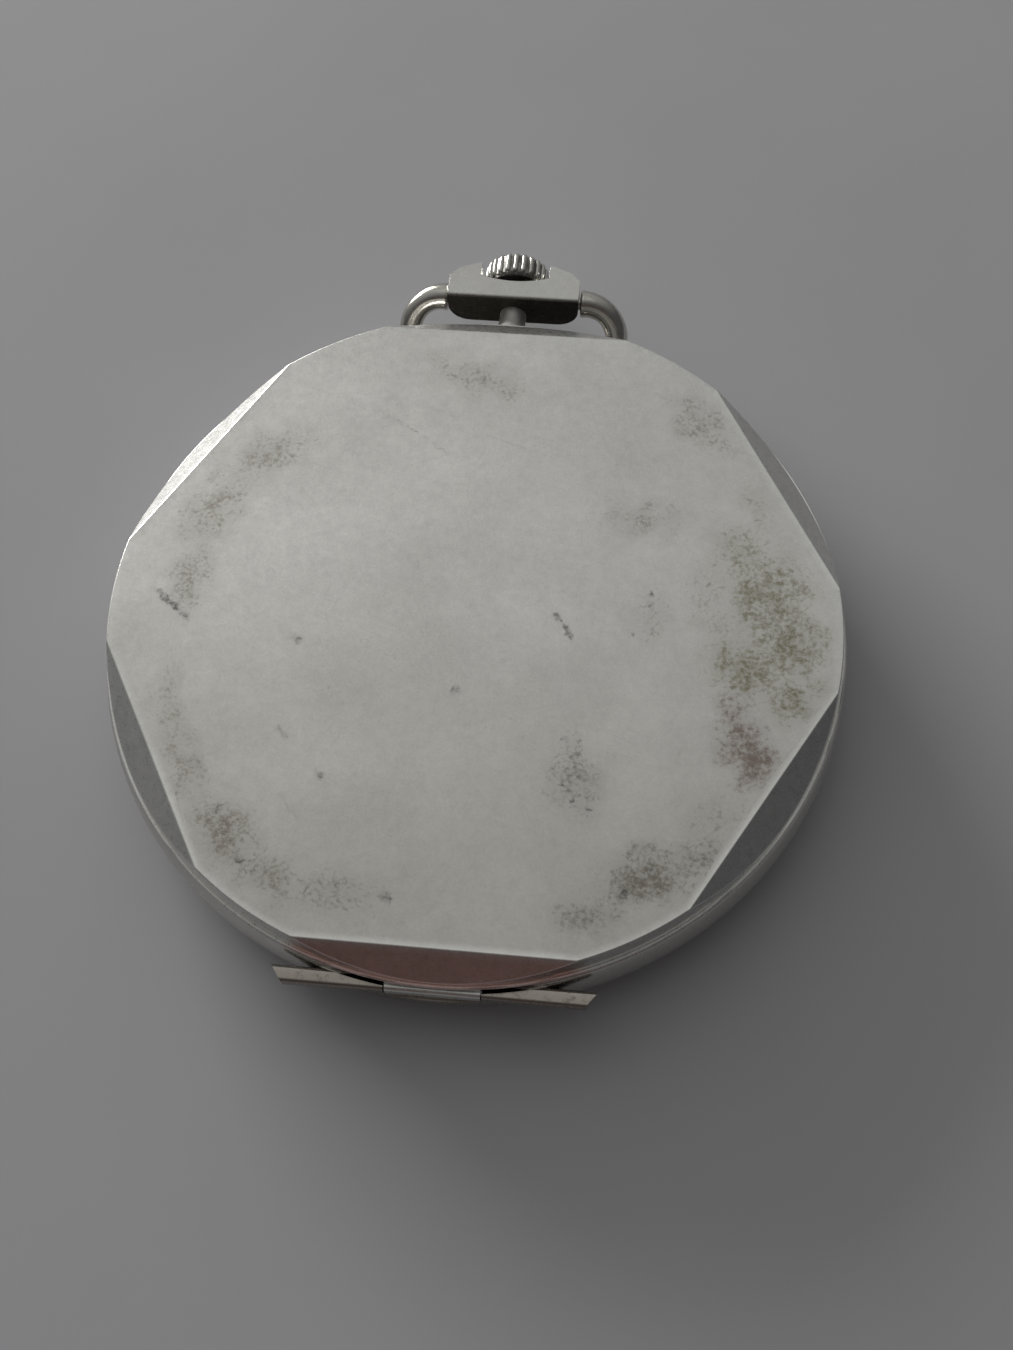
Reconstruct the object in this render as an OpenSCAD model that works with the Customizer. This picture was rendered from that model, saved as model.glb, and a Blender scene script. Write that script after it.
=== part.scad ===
// Open-faced fob watch, lying on its crystal with the hinged back uppermost.
// Millimetres. The origin is the centre of the crystal's outer face, +Z points out of the back,
// +Y points at 12 o'clock, and the dial faces -Z, so the hands turn by the right-hand rule about +Z.

/* [Case] */
// Radius of the circle that the flat hexagonal back is cut from
back_r = 23; // [22:0.5:24]
// Distance from the centre of the back to each of its six straight edges
back_apothem = 21.46; // [21.2:0.02:21.7]
// Height from the crystal's face to the flat of the back
watch_h = 7.6; // [7.6:0.05:7.8]
// Angle that each bevel slopes down from the flat
bevel_slope = 39; // [37:1:41]
// Radius of the rolled lip around the back cover
lip_r = 23.35; // [23.2:0.05:23.4]
// Largest radius of the middle of the case
case_r = 23.7; // [23.6:0.05:23.8]
// Thickness of the back cover's sheet
cover_t = 0.45; // [0.35:0.05:0.45]

/* [Hinge of the back] */
// Length of the straight bar at its inner edge
hinge_len = 19.2; // [16:0.4:20]
// Length of the back cover's middle knuckle
knuckle_len = 5.6; // [4:0.2:8]
// Distance of the hinge's axis from the centre of the watch
hinge_y = 23.05; // [23:0.05:23.1]
// Height of the hinge's axis
hinge_z = 4.95; // [4.9:0.05:5]

/* [Pendant, crown and bow] */
// Width of the pendant bar
bar_w = 9.2; // [9:0.1:9.6]
// Diameter of the fluted crown
crown_d = 4.6; // [4.2:0.1:4.6]
// Number of flutes around the crown
crown_flutes = 24; // [18:1:26]
// Height of the winding stem's axis
stem_z = 4.2; // [4.15:0.05:4.2]
// Thickness of the bow's wire
bow_wire = 1.6; // [1.2:0.1:1.6]
// Overall width of the bow
bow_w = 16.4; // [15.6:0.2:17]
// Distance from the bow's pivots to the middle of its crossbar
bow_reach = 4.8; // [4.7:0.1:4.8]
// Angle of the bow at rest, measured down towards the dial from straight out
bow_rest = 131; // [130.5:0.5:131]

/* [Dial and hands] */
// Radius of the dial
dial_r = 20; // [19.6:0.1:20]
// Distance of the small seconds from the centre
seconds_y = 9.5; // [9.4:0.1:9.6]
// Minutes shown by the hands
minutes_shown = 8; // [0:1:59]
// Hours shown by the hands
hours_shown = 10; // [0:1:11]

/* [Movement] */
// Radius of the main plate
plate_r = 19.2; // [19.1:0.05:19.2]
// Module of the barrel's teeth
barrel_module = 0.17; // [0.168:0.001:0.172]
// Distance of the crown wheel from the centre
crown_wheel_y = 12.3; // [12.2:0.1:12.4]
// Radius of the balance
balance_r = 5.8; // [5.4:0.1:5.8]
// Turns of the hairspring
hairspring_turns = 9; // [5:1:10]

/* [Hidden] */
$fn = 96;
// smallest step that keeps a cutter clear of the face it cuts
e = 0.02;

// radial clearance of a pivot, a stem or a pin in its hole
run = 0.04;

// heights of the case's layers
crystal_h = 0.9;
bezel_z = 0.4;
dial_z = 1.9;
dial_t = 0.35;
band_z = 2.15;
cover_z = 5.85;
neck_z = 6.35;
inner_z = 6.85;
inner_seat_z = 6.55;

// heights of the movement's layers
motion_z = 2.62;
hour_z = 2.32;
plate_z = 3;
plate_top = 4.85;
third_z = 4.95;
fourth_z = 5.18;
centre_z = 5.44;
balance_z = 5.45;
bridge_z = 5.75;
bridge_top = 6.45;
wheel_recess = 6.1;
cock_z = [5.16, 5.38];
cock_under = 5.95;

// radii of the case's inner steps
neck_r = 22.3;
neck_bore = 21;
plate_bore = 19.3;
dial_bore = 20.1;
crystal_r = 20.5;
sight_r = 19.6;

// teeth of each wheel and its pinion, and the module they share
barrel_teeth = 80;
centre_leaves = 10;
centre_teeth = 80;
third_leaves = 10;
third_module = 0.15;
third_teeth = 75;
fourth_leaves = 10;
fourth_module = 0.13;
fourth_teeth = 80;
escape_leaves = 8;
escape_module = 0.12;
escape_teeth = 15;
escape_r = 3;
winding_module = 0.2;
crown_wheel_teeth = 42;
ratchet_teeth = 60;
winding_leaves = 18;
cannon_leaves = 12;
minute_teeth = 36;
cannon_module = 0.15;
minute_leaves = 10;
hour_teeth = 40;
setting_teeth = 24;
idler_teeth = 18;

// distance between two arbors whose wheels mesh
function mesh_distance(m, teeth_a, teeth_b) = m * (teeth_a + teeth_b) / 2;
// the point at given distances from two others, to the left of the line a to b when side is 1
function meet(a, ra, b, rb, side) =
    let (d = norm(b - a), u = (b - a) / d, t = (ra * ra - rb * rb + d * d) / (2 * d))
    a + t * u + side * sqrt(ra * ra - t * t) * [-u[1], u[0]];
function bearing(a, b) = atan2(b[1] - a[1], b[0] - a[0]);
function polar(r, angle) = [r * cos(angle), r * sin(angle)];

// arbors of the movement, seen in plan
centre = [0, 0];
crown_wheel_at = [0, crown_wheel_y];
fourth_at = [0, -seconds_y];
barrel_at = meet(centre, mesh_distance(barrel_module, barrel_teeth, centre_leaves), crown_wheel_at,
    mesh_distance(winding_module, crown_wheel_teeth, ratchet_teeth), -1);
third_at = meet(centre, mesh_distance(third_module, centre_teeth, third_leaves), fourth_at,
    mesh_distance(fourth_module, third_teeth, fourth_leaves), -1);
balance_at = polar(12.6, -45);
pallet_reach = 3.9;
escape_reach = escape_r / cos(30);
escape_at = meet(fourth_at, mesh_distance(escape_module, fourth_teeth, escape_leaves), balance_at,
    pallet_reach + escape_reach, -1);
lever_angle = bearing(escape_at, balance_at);
pallet_at = escape_at + polar(escape_reach, lever_angle);
minute_at = polar(mesh_distance(cannon_module, cannon_leaves, minute_teeth), 110);
setting_at = [0, minute_at[1] + sqrt(pow(mesh_distance(cannon_module, minute_teeth, setting_teeth), 2)
    - pow(minute_at[0], 2))];
idler_at = setting_at + [0, mesh_distance(cannon_module, setting_teeth, idler_teeth)];
cock_angle = 25;
cock_foot = balance_at + polar(balance_r + 2.1, cock_angle);

// places along the winding stem, from the centre of the watch
plate_slot = [12.2, 17.2];
clutch_y = [13.3, 15.3];
clutch_groove = 14;
pinion_y = [15.35, 17];
stem_groove = 17.75;
lever_arm = 3.3;
pull = 0.9;
clutch_slide = 0.8;
stem_r = 0.45;
crown_y = 27.6;
crown_len = 2.05;
bar_y = 25.6;
bar_depth = 3.4;
bar_z = [3.4, 6];
bow_y = 26.7;
bow_z = 4.45;
pivot_r = 0.12;
post_r = 0.26;

// ---------- shared shapes ----------

// outline of a gear of slim teeth, with a tooth on the X axis
module gear_outline(m, teeth) {
    pitch = 360 / teeth;
    root_r = m * (teeth / 2 - 1.15);
    tip_r = m * (teeth / 2 + 0.75);
    root_w = 0.24 * pitch;
    tip_w = 0.09 * pitch;
    polygon([for (i = [0 : teeth - 1]) each [polar(root_r, i * pitch - root_w), polar(tip_r, i * pitch - tip_w),
        polar(tip_r, i * pitch + tip_w), polar(root_r, i * pitch + root_w)]]);
}

// flat wheel with arms between its rim and its hub
module crossed_wheel(m, teeth, h, phase, hub_r, arms) {
    rim_r = m * (teeth / 2 - 1.15) - 0.45;
    arm_w = 0.45;
    linear_extrude(h) difference() {
        rotate(phase) gear_outline(m, teeth);
        difference() {
            circle(rim_r);
            circle(hub_r);
            for (i = [0 : arms - 1]) rotate(i * 360 / arms) translate([0, -arm_w / 2]) square([rim_r + 1, arm_w]);
        }
    }
}

module pinion(m, leaves, h, phase) {
    linear_extrude(h) rotate(phase) gear_outline(m, leaves);
}

// plain arbor between the plate and the bridge above it, with a fine pivot at each end
module arbor(r, pivot_top, shoulder_top) {
    pivot_low = plate_top - 0.7;
    shoulder_low = plate_top + run;
    translate([0, 0, pivot_low]) cylinder(r = pivot_r, h = pivot_top - pivot_low, $fn = 24);
    translate([0, 0, shoulder_low]) cylinder(r = r, h = shoulder_top - shoulder_low, $fn = 24);
}

// slotted screw whose head's top is at z = 0
module screw(head_r, head_h, shank_r, len) {
    slot_w = head_r * 0.3;
    slot_d = head_h * 0.45;
    difference() {
        union() {
            translate([0, 0, -head_h]) cylinder(r = head_r, h = head_h);
            translate([0, 0, -len]) cylinder(r = shank_r, h = len - head_h + e);
        }
        translate([-head_r - e, -slot_w / 2, -slot_d]) cube([2 * (head_r + e), slot_w, slot_d + e]);
    }
}

module at(p, z = 0) {
    translate([p[0], p[1], z]) children();
}

// cylinder lying along +Y from y0 to y1 at the stem's height
module along_stem(r, y0, y1, facets = 48) {
    translate([0, y0, stem_z]) rotate([-90, 0, 0]) cylinder(r = r, h = y1 - y0, $fn = facets);
}

// ---------- case ----------

// round slab whose top is cut by six sloping planes, inset by the given thickness of sheet
module faceted_slab(r_low, r_top, z_low, inset) {
    facet_x = back_apothem - inset * sin(bevel_slope);
    facet_z = watch_h - inset * cos(bevel_slope);
    difference() {
        translate([0, 0, z_low]) cylinder(r1 = r_low, r2 = r_top, h = watch_h - inset - z_low, $fn = 180);
        for (k = [0 : 5]) rotate(30 + 60 * k) translate([facet_x, 0, facet_z]) rotate([0, bevel_slope, 0])
            translate([-4, -14, 0]) cube([12, 28, 6]);
    }
}

module hinge_cylinder(r, len) {
    translate([-len / 2, -hinge_y, hinge_z]) rotate([0, 90, 0]) cylinder(r = r, h = len, $fn = 48);
}

// knuckles of the hinge
knuckle_r = 0.5;
hinge_pin_r = 0.25;
knuckle_gap = 0.08;
bar_end_bevel = 0.75;

module hinge_bar() {
    half = hinge_len / 2;
    depth = 2 * knuckle_r;
    translate([0, -hinge_y, hinge_z - knuckle_r]) linear_extrude(2 * knuckle_r)
        polygon([[-half, depth / 2], [half, depth / 2], [half - bar_end_bevel, -depth / 2],
            [-half + bar_end_bevel, -depth / 2]]);
}

// outline of the round band of the case, bulging to its largest radius
module band_outline() {
    bulge_r = 4.8;
    lip_gap = 0.05;
    intersection() {
        translate([neck_bore, band_z]) square([case_r - neck_bore, cover_z - lip_gap - band_z]);
        translate([case_r - bulge_r, (band_z + cover_z) / 2]) circle(bulge_r);
    }
}

module mid_case() {
    ledge_z = dial_z + dial_t + 0.05;
    snap_r = 20.9;
    tap_r = 0.45;
    // depth of the cuts for the hinge, from outside the case
    cut_y = case_r + 1 - 22.5;
    cut_w = knuckle_len + 2 * knuckle_gap;
    swing = 0.1;
    color("silver") difference() {
        union() {
            rotate_extrude($fn = 180) union() {
                band_outline();
                translate([neck_bore, cover_z - 1]) square([neck_r - neck_bore, neck_z - cover_z + 1]);
                translate([plate_bore, ledge_z]) square([neck_bore + e - plate_bore, plate_top - ledge_z]);
                translate([dial_bore, dial_z]) square([snap_r - dial_bore, 1]);
                translate([snap_r - 0.1, band_z]) square([neck_bore + e - snap_r + 0.1, 1]);
            }
            hinge_bar();
        }
        // the winding stem's tube
        along_stem(stem_r + run, plate_bore - 1, case_r + 1);
        // room above the hinge for the back cover's edge to swing through
        translate([-hinge_len / 2 - 1, -case_r - 1, hinge_z + knuckle_r])
            cube([hinge_len + 2, cut_y, 3]);
        // room for the middle knuckle and its leaf
        hinge_cylinder(knuckle_r + swing, cut_w);
        translate([-cut_w / 2, -case_r - 1, hinge_z]) cube([cut_w, cut_y, 3]);
        translate([-cut_w / 2, -case_r - 1, hinge_z - knuckle_r - swing])
            cube([cut_w, case_r + 1 - hinge_y, knuckle_r + 2 * swing]);
        hinge_cylinder(hinge_pin_r, hinge_len + 1);
        // taps for the two screws that hold the movement
        for (a = case_screw_angles) at(polar(case_screw_r, a), 4) cylinder(r = tap_r, h = 2, $fn = 32);
    }
}

case_screw_angles = [150, 215];
case_screw_r = 19.95;

module case_screws() {
    color("steelblue") for (a = case_screw_angles) at(polar(case_screw_r, a), plate_top + 0.36) rotate(a)
        screw(0.8, 0.35, 0.42, 1.1, $fn = 32);
}

module hinge_pin() {
    color("dimgray") hinge_cylinder(hinge_pin_r, hinge_len - 2 * bar_end_bevel - 0.3);
}

module back_cover() {
    bead_h = 0.26;
    bead_r = bead_h / 2;
    leaf_t = 0.75;
    // inside of the lip, just clear of the neck, and of the skirt above it
    lip_bore = neck_r + 0.06;
    skirt_bore = 22.75;
    color("silver") difference() {
        union() {
            faceted_slab(lip_r - 0.06, back_r, cover_z, 0);
            // rolled lip
            translate([0, 0, cover_z]) rotate_extrude($fn = 180) union() {
                translate([neck_r + 0.2, 0]) square([lip_r - bead_r - neck_r - 0.2, bead_h]);
                translate([lip_r - bead_r, bead_r]) circle(bead_r, $fn = 24);
            }
            // leaf and knuckle
            translate([-knuckle_len / 2, -hinge_y - 0.3, hinge_z]) cube([knuckle_len, leaf_t, cover_z - hinge_z + 0.2]);
            hinge_cylinder(knuckle_r, knuckle_len);
        }
        // hollow that snaps over the neck of the case
        translate([0, 0, cover_z - e]) cylinder(r = lip_bore, h = neck_z - cover_z + 0.05, $fn = 180);
        faceted_slab(skirt_bore, back_r - cover_t, neck_z, cover_t);
        hinge_cylinder(hinge_pin_r + run, knuckle_len + 1);
    }
}

module bezel() {
    seat_z = crystal_h + 0.02;
    base_z = 2.12;
    groove = [20.93, 1.86];
    notch = [1.2, 3, 0.3];
    color("silver") difference() {
        rotate_extrude($fn = 180) polygon([[sight_r, seat_z], [crystal_r, seat_z], [crystal_r, bezel_z],
            [21.35, bezel_z], [21.6, bezel_z + 0.06], [22.9, 1.45], [23.28, 1.9], [23.35, 2.02],
            [23.25, base_z], [groove[0], base_z], groove, [sight_r, groove[1]]]);
        // thumb notch for lifting the bezel
        rotate(-90) translate([case_r, 0, base_z]) cube(notch, center = true);
    }
}

module crystal() {
    color("lightcyan", 0.35) rotate_extrude($fn = 180)
        polygon([[0, 0], [19.7, 0], [crystal_r, 0.38], [crystal_r, crystal_h], [0, crystal_h]]);
}

// ring with a flange over the neck, a seat for the glass and a thumb lip
module inner_cover() {
    bore = 19.05;
    root_z = 6.1;
    flange_r = 21.25;
    chamfer = 0.12;
    color("silver") rotate_extrude($fn = 180) polygon([[bore, root_z], [neck_bore - run, root_z],
        [neck_bore - run, neck_z], [flange_r, neck_z], [flange_r, inner_z - chamfer],
        [flange_r - chamfer, inner_z], [sight_r, inner_z], [sight_r, inner_seat_z], [bore, inner_seat_z]]);
}

module inner_glass() {
    glass_t = 0.25;
    color("lightcyan", 0.35) translate([0, 0, inner_seat_z]) cylinder(r = sight_r, h = glass_t, $fn = 180);
}

// ---------- pendant ----------

module pendant_neck() {
    root_y = case_r - 1.2;
    color("silver") difference() {
        translate([0, 0, stem_z]) rotate([-90, 0, 0]) rotate_extrude($fn = 48)
            polygon([[0, root_y], [1.55, root_y], [1.55, case_r], [1.3, case_r + 0.4], [1.05, case_r + 0.9],
                [0.95, bar_y], [0, bar_y]]);
        along_stem(stem_r + run, 20, 30);
        // the root is fitted to the bulging band
        rotate_extrude($fn = 180) band_outline();
        cylinder(r = root_y + 0.3, h = watch_h, $fn = 180);
    }
}

module pendant_bar() {
    end_y = bar_y + 2.4;
    half = bar_w / 2;
    corner = 0.6;
    arch_r = 9.4;
    // the rounding of the dial side, and how far its centres lie under the bar's top
    under_r = 1.5;
    under_drop = 1.1;
    hole_len = 2.3;
    hole_d = 1.3;
    pocket_r = 7.5;
    pocket_gap = 0.42;
    color("silver") difference() {
        intersection() {
            translate([0, 0, bar_z[0]]) linear_extrude(bar_z[1] - bar_z[0]) intersection() {
                polygon([[-half, bar_y], [half, bar_y], [half, end_y - corner], [half - corner, end_y],
                    [half - corner, bar_y + bar_depth], [corner - half, bar_y + bar_depth],
                    [corner - half, end_y], [-half, end_y - corner]]);
                translate([0, bar_y + bar_depth - arch_r]) circle(arch_r, $fn = 120);
            }
            // the dial side is rounded at both ends
            translate([0, bar_y - 1, bar_z[1]]) rotate([-90, 0, 0]) linear_extrude(bar_depth + 2) union() {
                translate([-half - 1, -1]) square([bar_w + 2, 1 + under_drop]);
                translate([-half + under_r, 0]) square([bar_w - 2 * under_r, 4]);
                for (s = [-1, 1]) translate([s * (half - under_r), under_drop]) circle(under_r, $fn = 60);
            }
        }
        // pocket for the crown, open on both faces
        translate([0, crown_y - pocket_gap + pocket_r, 0]) intersection() {
            cylinder(r = pocket_r, h = 8, $fn = 120);
            translate([-crown_d / 2 - 0.12, -8, 0]) cube([crown_d + 0.24, 16, 8]);
        }
        along_stem(stem_r + run, 20, 30);
        // holes for the bow's ends
        for (x = [-half - 1, half - hole_d]) translate([x, bow_y, bow_z]) rotate([0, 90, 0])
            cylinder(r = bow_pin_r + run, h = hole_len, $fn = 32);
    }
}

bow_pin_r = 0.45;

// rounded wire loop drawn straight out along +Y from its pivots, then swung to its rest angle
module bow() {
    wire_r = bow_wire / 2;
    side_x = bow_w / 2 - wire_r;
    start_x = bar_w / 2 + 0.12;
    bend = bow_reach / 2;
    shoulder = side_x - bend;
    color("silver") translate([0, bow_y, bow_z]) rotate([-bow_rest, 0, 0]) union() {
        for (s = [-1, 1]) {
            // the pin that turns in the bar and the collar outside it
            translate([s * (start_x - 0.6), 0, 0]) rotate([0, 90, 0])
                cylinder(r = bow_pin_r, h = 1.6, center = true, $fn = 32);
            translate([s * (start_x + (shoulder - start_x) / 2), 0, 0]) rotate([0, 90, 0])
                cylinder(r = wire_r + 0.15, h = shoulder - start_x, center = true, $fn = 48);
            // two quarter bends take the wire round to the crossbar
            translate([s * shoulder, bend, 0]) rotate([0, 0, s > 0 ? -90 : 180])
                rotate_extrude(angle = 90, $fn = 96) translate([bend, 0]) circle(wire_r, $fn = 40);
            translate([s * shoulder, bend, 0]) rotate([0, 0, s > 0 ? 0 : 90])
                rotate_extrude(angle = 90, $fn = 96) translate([bend, 0]) circle(wire_r, $fn = 40);
        }
        translate([0, bow_reach, 0]) rotate([0, 90, 0])
            cylinder(r = wire_r, h = 2 * shoulder, center = true, $fn = 40);
    }
}

module crown() {
    flute_r = 0.2;
    crown_r = crown_d / 2;
    color("silver") difference() {
        translate([0, 0, stem_z]) rotate([-90, 0, 0]) rotate_extrude($fn = 96)
            polygon([[0, crown_y], [crown_r - 0.25, crown_y], [crown_r, crown_y + 0.25],
                [crown_r, crown_y + crown_len - 0.45], [crown_r - 0.4, crown_y + crown_len - 0.08],
                [crown_r - 1, crown_y + crown_len], [0, crown_y + crown_len]]);
        for (i = [0 : crown_flutes - 1]) translate([0, crown_y - 1, stem_z]) rotate([0, i * 360 / crown_flutes, 0])
            translate([crown_r + 0.04, 0, 0]) rotate([-90, 0, 0]) cylinder(r = flute_r, h = 5, $fn = 16);
        along_stem(stem_r, crown_y - 1, crown_y + 1.4);
    }
}

// round shaft with a groove for the setting lever, a square for the sliding pinion and an end pivot
module winding_stem() {
    square_w = 0.62;
    color("lightsteelblue") difference() {
        union() {
            along_stem(stem_r, pinion_y[0], crown_y + 1.4);
            translate([-square_w / 2, plate_slot[0] + 0.2, stem_z - square_w / 2])
                cube([square_w, pinion_y[0] - plate_slot[0], square_w]);
            along_stem(0.28, plate_slot[0] - 1.5, plate_slot[0] + 0.4);
        }
        difference() {
            along_stem(1, stem_groove - 0.35, stem_groove + 0.35);
            along_stem(0.26, stem_groove - 1, stem_groove + 1);
        }
    }
}

// ---------- dial and hands ----------

seconds_r = 5;

module dial() {
    color("ivory") difference() {
        translate([0, 0, dial_z]) cylinder(r = dial_r, h = dial_t, $fn = 180);
        translate([0, 0, dial_z - e]) cylinder(r = 1.05, h = 1, $fn = 48);
        at(fourth_at, dial_z - e) cylinder(r = 0.3, h = 1, $fn = 32);
        at(fourth_at, dial_z - e) cylinder(r = seconds_r, h = 0.1 + e, $fn = 96);
    }
}

// applied batons, with none at 6 o'clock where the small seconds are
module dial_markers() {
    baton = [0.6, 2.8, 0.12];
    baton_y = 15.6;
    color("dimgray") for (h = [0 : 11]) if (h != 6) rotate(30 * h) {
        // the baton at 12 is twice as wide
        w = h == 0 ? 2 * baton[0] : baton[0];
        translate([-w / 2, baton_y, dial_z - baton[2]]) cube([w, baton[1], baton[2]]);
    }
}

// flat hand that points along +Y: a ring, a tail and a tapered blade
module hand(hub_r, hole_r, len, w, tail, h) {
    difference() {
        union() {
            cylinder(r = hub_r, h = h, $fn = 48);
            linear_extrude(h) polygon([[-w * 0.35, 0], [-w / 2, len * 0.62], [0, len], [w / 2, len * 0.62],
                [w * 0.35, 0], [w * 0.3, -tail], [-w * 0.3, -tail]]);
        }
        translate([0, 0, -e]) cylinder(r = hole_r, h = h + 2 * e, $fn = 32);
    }
}

minute_angle = minutes_shown * 6;
hour_angle = (hours_shown + minutes_shown / 60) * 30;

module hour_hand() {
    color("midnightblue") translate([0, 0, 1.4]) rotate(hour_angle) hand(1.25, 0.82, 10.6, 1, 2.2, 0.12);
}

module minute_hand() {
    color("midnightblue") translate([0, 0, 1.14]) rotate(minute_angle) hand(1, 0.4, 15.6, 0.8, 3, 0.12);
}

module seconds_hand() {
    color("midnightblue") at(fourth_at, 1.68) rotate(200) hand(0.45, 0.12, 4.3, 0.28, 1.4, 0.08);
}

// ---------- plates and bridges ----------

module pivot_hole(p, z, h, r = pivot_r + run) {
    at(p, z) cylinder(r = r, h = h, $fn = 24);
}

// places of the bridges' screws
barrel_screws = [polar(17.6, 150), polar(17.6, 28), polar(17.3, 62)];
train_screws = [polar(17.3, 195), polar(17.3, 262)];
pallet_foot = pallet_at + polar(3.3, lever_angle - 90);
cock_screw = cock_foot;

module main_plate() {
    color("gainsboro") difference() {
        union() {
            translate([0, 0, plate_z]) cylinder(r = plate_r, h = plate_top - plate_z, $fn = 180);
            // posts under the dial for the levers and the motion work
            for (p = [lever_pivot, yoke_pivot, minute_at, setting_at, idler_at])
                at(p, motion_z - 0.1) cylinder(r = post_r, h = plate_z - motion_z + 0.2, $fn = 24);
        }
        // pockets for the barrel, the centre pinion and the winding work
        at(barrel_at, 3.5) cylinder(r = 7.2, h = 3, $fn = 96);
        at(centre, 4.1) cylinder(r = 1.25, h = 3, $fn = 48);
        translate([-2.1, plate_slot[0], plate_z - e])
            cube([4.2, plate_slot[1] - plate_slot[0], plate_top - plate_z + 2 * e]);
        along_stem(stem_r + run, plate_slot[1] - 1, plate_r + 1);
        along_stem(0.28 + run, plate_slot[0] - 1.7, plate_slot[0] + 1);
        // slot for the setting lever's pin
        translate([-0.5, stem_groove - 0.36, plate_z - e]) cube([1, 2, 1.2]);
        // bearings
        pivot_hole(centre, plate_z - e, 3, 0.5 + run);
        at(barrel_at, plate_z - e) cylinder(r = 0.6 + run, h = 3, $fn = 32);
        for (p = [third_at, escape_at, pallet_at, balance_at]) pivot_hole(p, plate_top - 0.9, 2);
        pivot_hole(fourth_at, plate_z - e, 3, 0.2 + run);
        // taps for the screws
        for (p = concat(barrel_screws, train_screws, [pallet_foot, cock_screw])) at(p, plate_top - 1.1)
            cylinder(r = 0.4, h = 2, $fn = 24);
    }
}

// outline shared by the two large bridges: a disc less the room for the balance
module bridge_disc(balance_room) {
    difference() {
        circle(18.9, $fn = 180);
        translate(balance_at) circle(balance_room, $fn = 96);
    }
}

bridge_line = 60;

module screw_seats(places) {
    for (p = places) {
        at(p, bridge_top - 0.4) cylinder(r = 0.82, h = 1, $fn = 32);
        at(p, plate_top - 1) cylinder(r = 0.4, h = 3, $fn = 24);
    }
}

module jewel_seat(p, r) {
    at(p, bridge_z - 1) cylinder(r = r, h = 3, $fn = 32);
}

module barrel_bridge() {
    color("gainsboro") difference() {
        union() {
            translate([0, 0, bridge_z]) linear_extrude(bridge_top - bridge_z) intersection() {
                bridge_disc(10.1);
                rotate(bridge_line) translate([-1.7, -20]) square([40, 40]);
            }
            // feet, clear of the barrel
            translate([0, 0, plate_top]) linear_extrude(bridge_z - plate_top + e) intersection() {
                difference() {
                    bridge_disc(10.1);
                    circle(16.2, $fn = 96);
                    translate([-2.1, 0]) square([4.2, 20]);
                    translate(barrel_at) circle(7.3, $fn = 96);
                }
                rotate(bridge_line) translate([-1.7, -20]) square([40, 40]);
            }
        }
        // recesses for the ratchet wheel, the crown wheel and the click
        at(barrel_at, wheel_recess - 0.05) cylinder(r = 6.35, h = 1, $fn = 96);
        at(crown_wheel_at, wheel_recess - 0.05) cylinder(r = 4.5, h = 1, $fn = 96);
        at(click_at, wheel_recess - 0.05) cylinder(r = 1.95, h = 1, $fn = 48);
        // groove under the crown wheel for its upright teeth
        at(crown_wheel_at, wheel_recess - 0.26) difference() {
            cylinder(r = face_r + face_len + 0.15, h = 1, $fn = 96);
            cylinder(r = face_r - 0.15, h = 3, $fn = 96);
        }
        // slot through which the winding pinion meets the crown wheel
        translate([-2.1, pinion_y[0] - 0.2, plate_top]) cube([4.2, pinion_y[1] - pinion_y[0] + 0.4, 2]);
        at(barrel_at, bridge_z - e) cylinder(r = 0.9 + run, h = 2, $fn = 32);
        at(crown_wheel_at, bridge_z - e) cylinder(r = 0.5, h = 2, $fn = 32);
        at(click_at, bridge_z - e) cylinder(r = 0.3, h = 2, $fn = 24);
        jewel_seat(centre, 0.75);
        screw_seats(barrel_screws);
    }
}

module train_bridge() {
    color("gainsboro") difference() {
        union() {
            translate([0, 0, bridge_z]) linear_extrude(bridge_top - bridge_z) intersection() {
                bridge_disc(balance_r + 0.5);
                rotate(bridge_line) translate([-42, -20]) square([40, 40]);
                translate([balance_at[0] - 40, -20]) square([40, 40]);
            }
            translate([0, 0, plate_top]) linear_extrude(bridge_z - plate_top + e) intersection() {
                difference() {
                    bridge_disc(balance_r + 0.5);
                    circle(15.9, $fn = 96);
                    translate(escape_at) circle(3.6, $fn = 48);
                }
                rotate(bridge_line) translate([-42, -20]) square([40, 40]);
                translate([balance_at[0] - 40, -20]) square([40, 40]);
            }
        }
        jewel_seat(third_at, 0.5);
        jewel_seat(fourth_at, 0.5);
        jewel_seat(escape_at, 0.45);
        screw_seats(train_screws);
    }
}

// small cock over the lever, lying under the balance
module pallet_cock() {
    z0 = cock_z[0];
    z1 = cock_z[1];
    run_len = norm(pallet_foot - pallet_at);
    color("gainsboro") difference() {
        union() {
            at(pallet_at, z0) cylinder(r = 0.6, h = z1 - z0, $fn = 32);
            at(pallet_foot, plate_top) cylinder(r = 0.95, h = z1 - plate_top, $fn = 32);
            at(pallet_at, z0) rotate(lever_angle - 90) translate([0, -0.6, 0]) cube([run_len, 1.2, z1 - z0]);
        }
        pivot_hole(pallet_at, z0 - e, 1);
        at(pallet_foot, z1 - 0.18) cylinder(r = 0.72, h = 1, $fn = 32);
        at(pallet_foot, plate_top - 1) cylinder(r = 0.4, h = 3, $fn = 24);
    }
}

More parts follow.
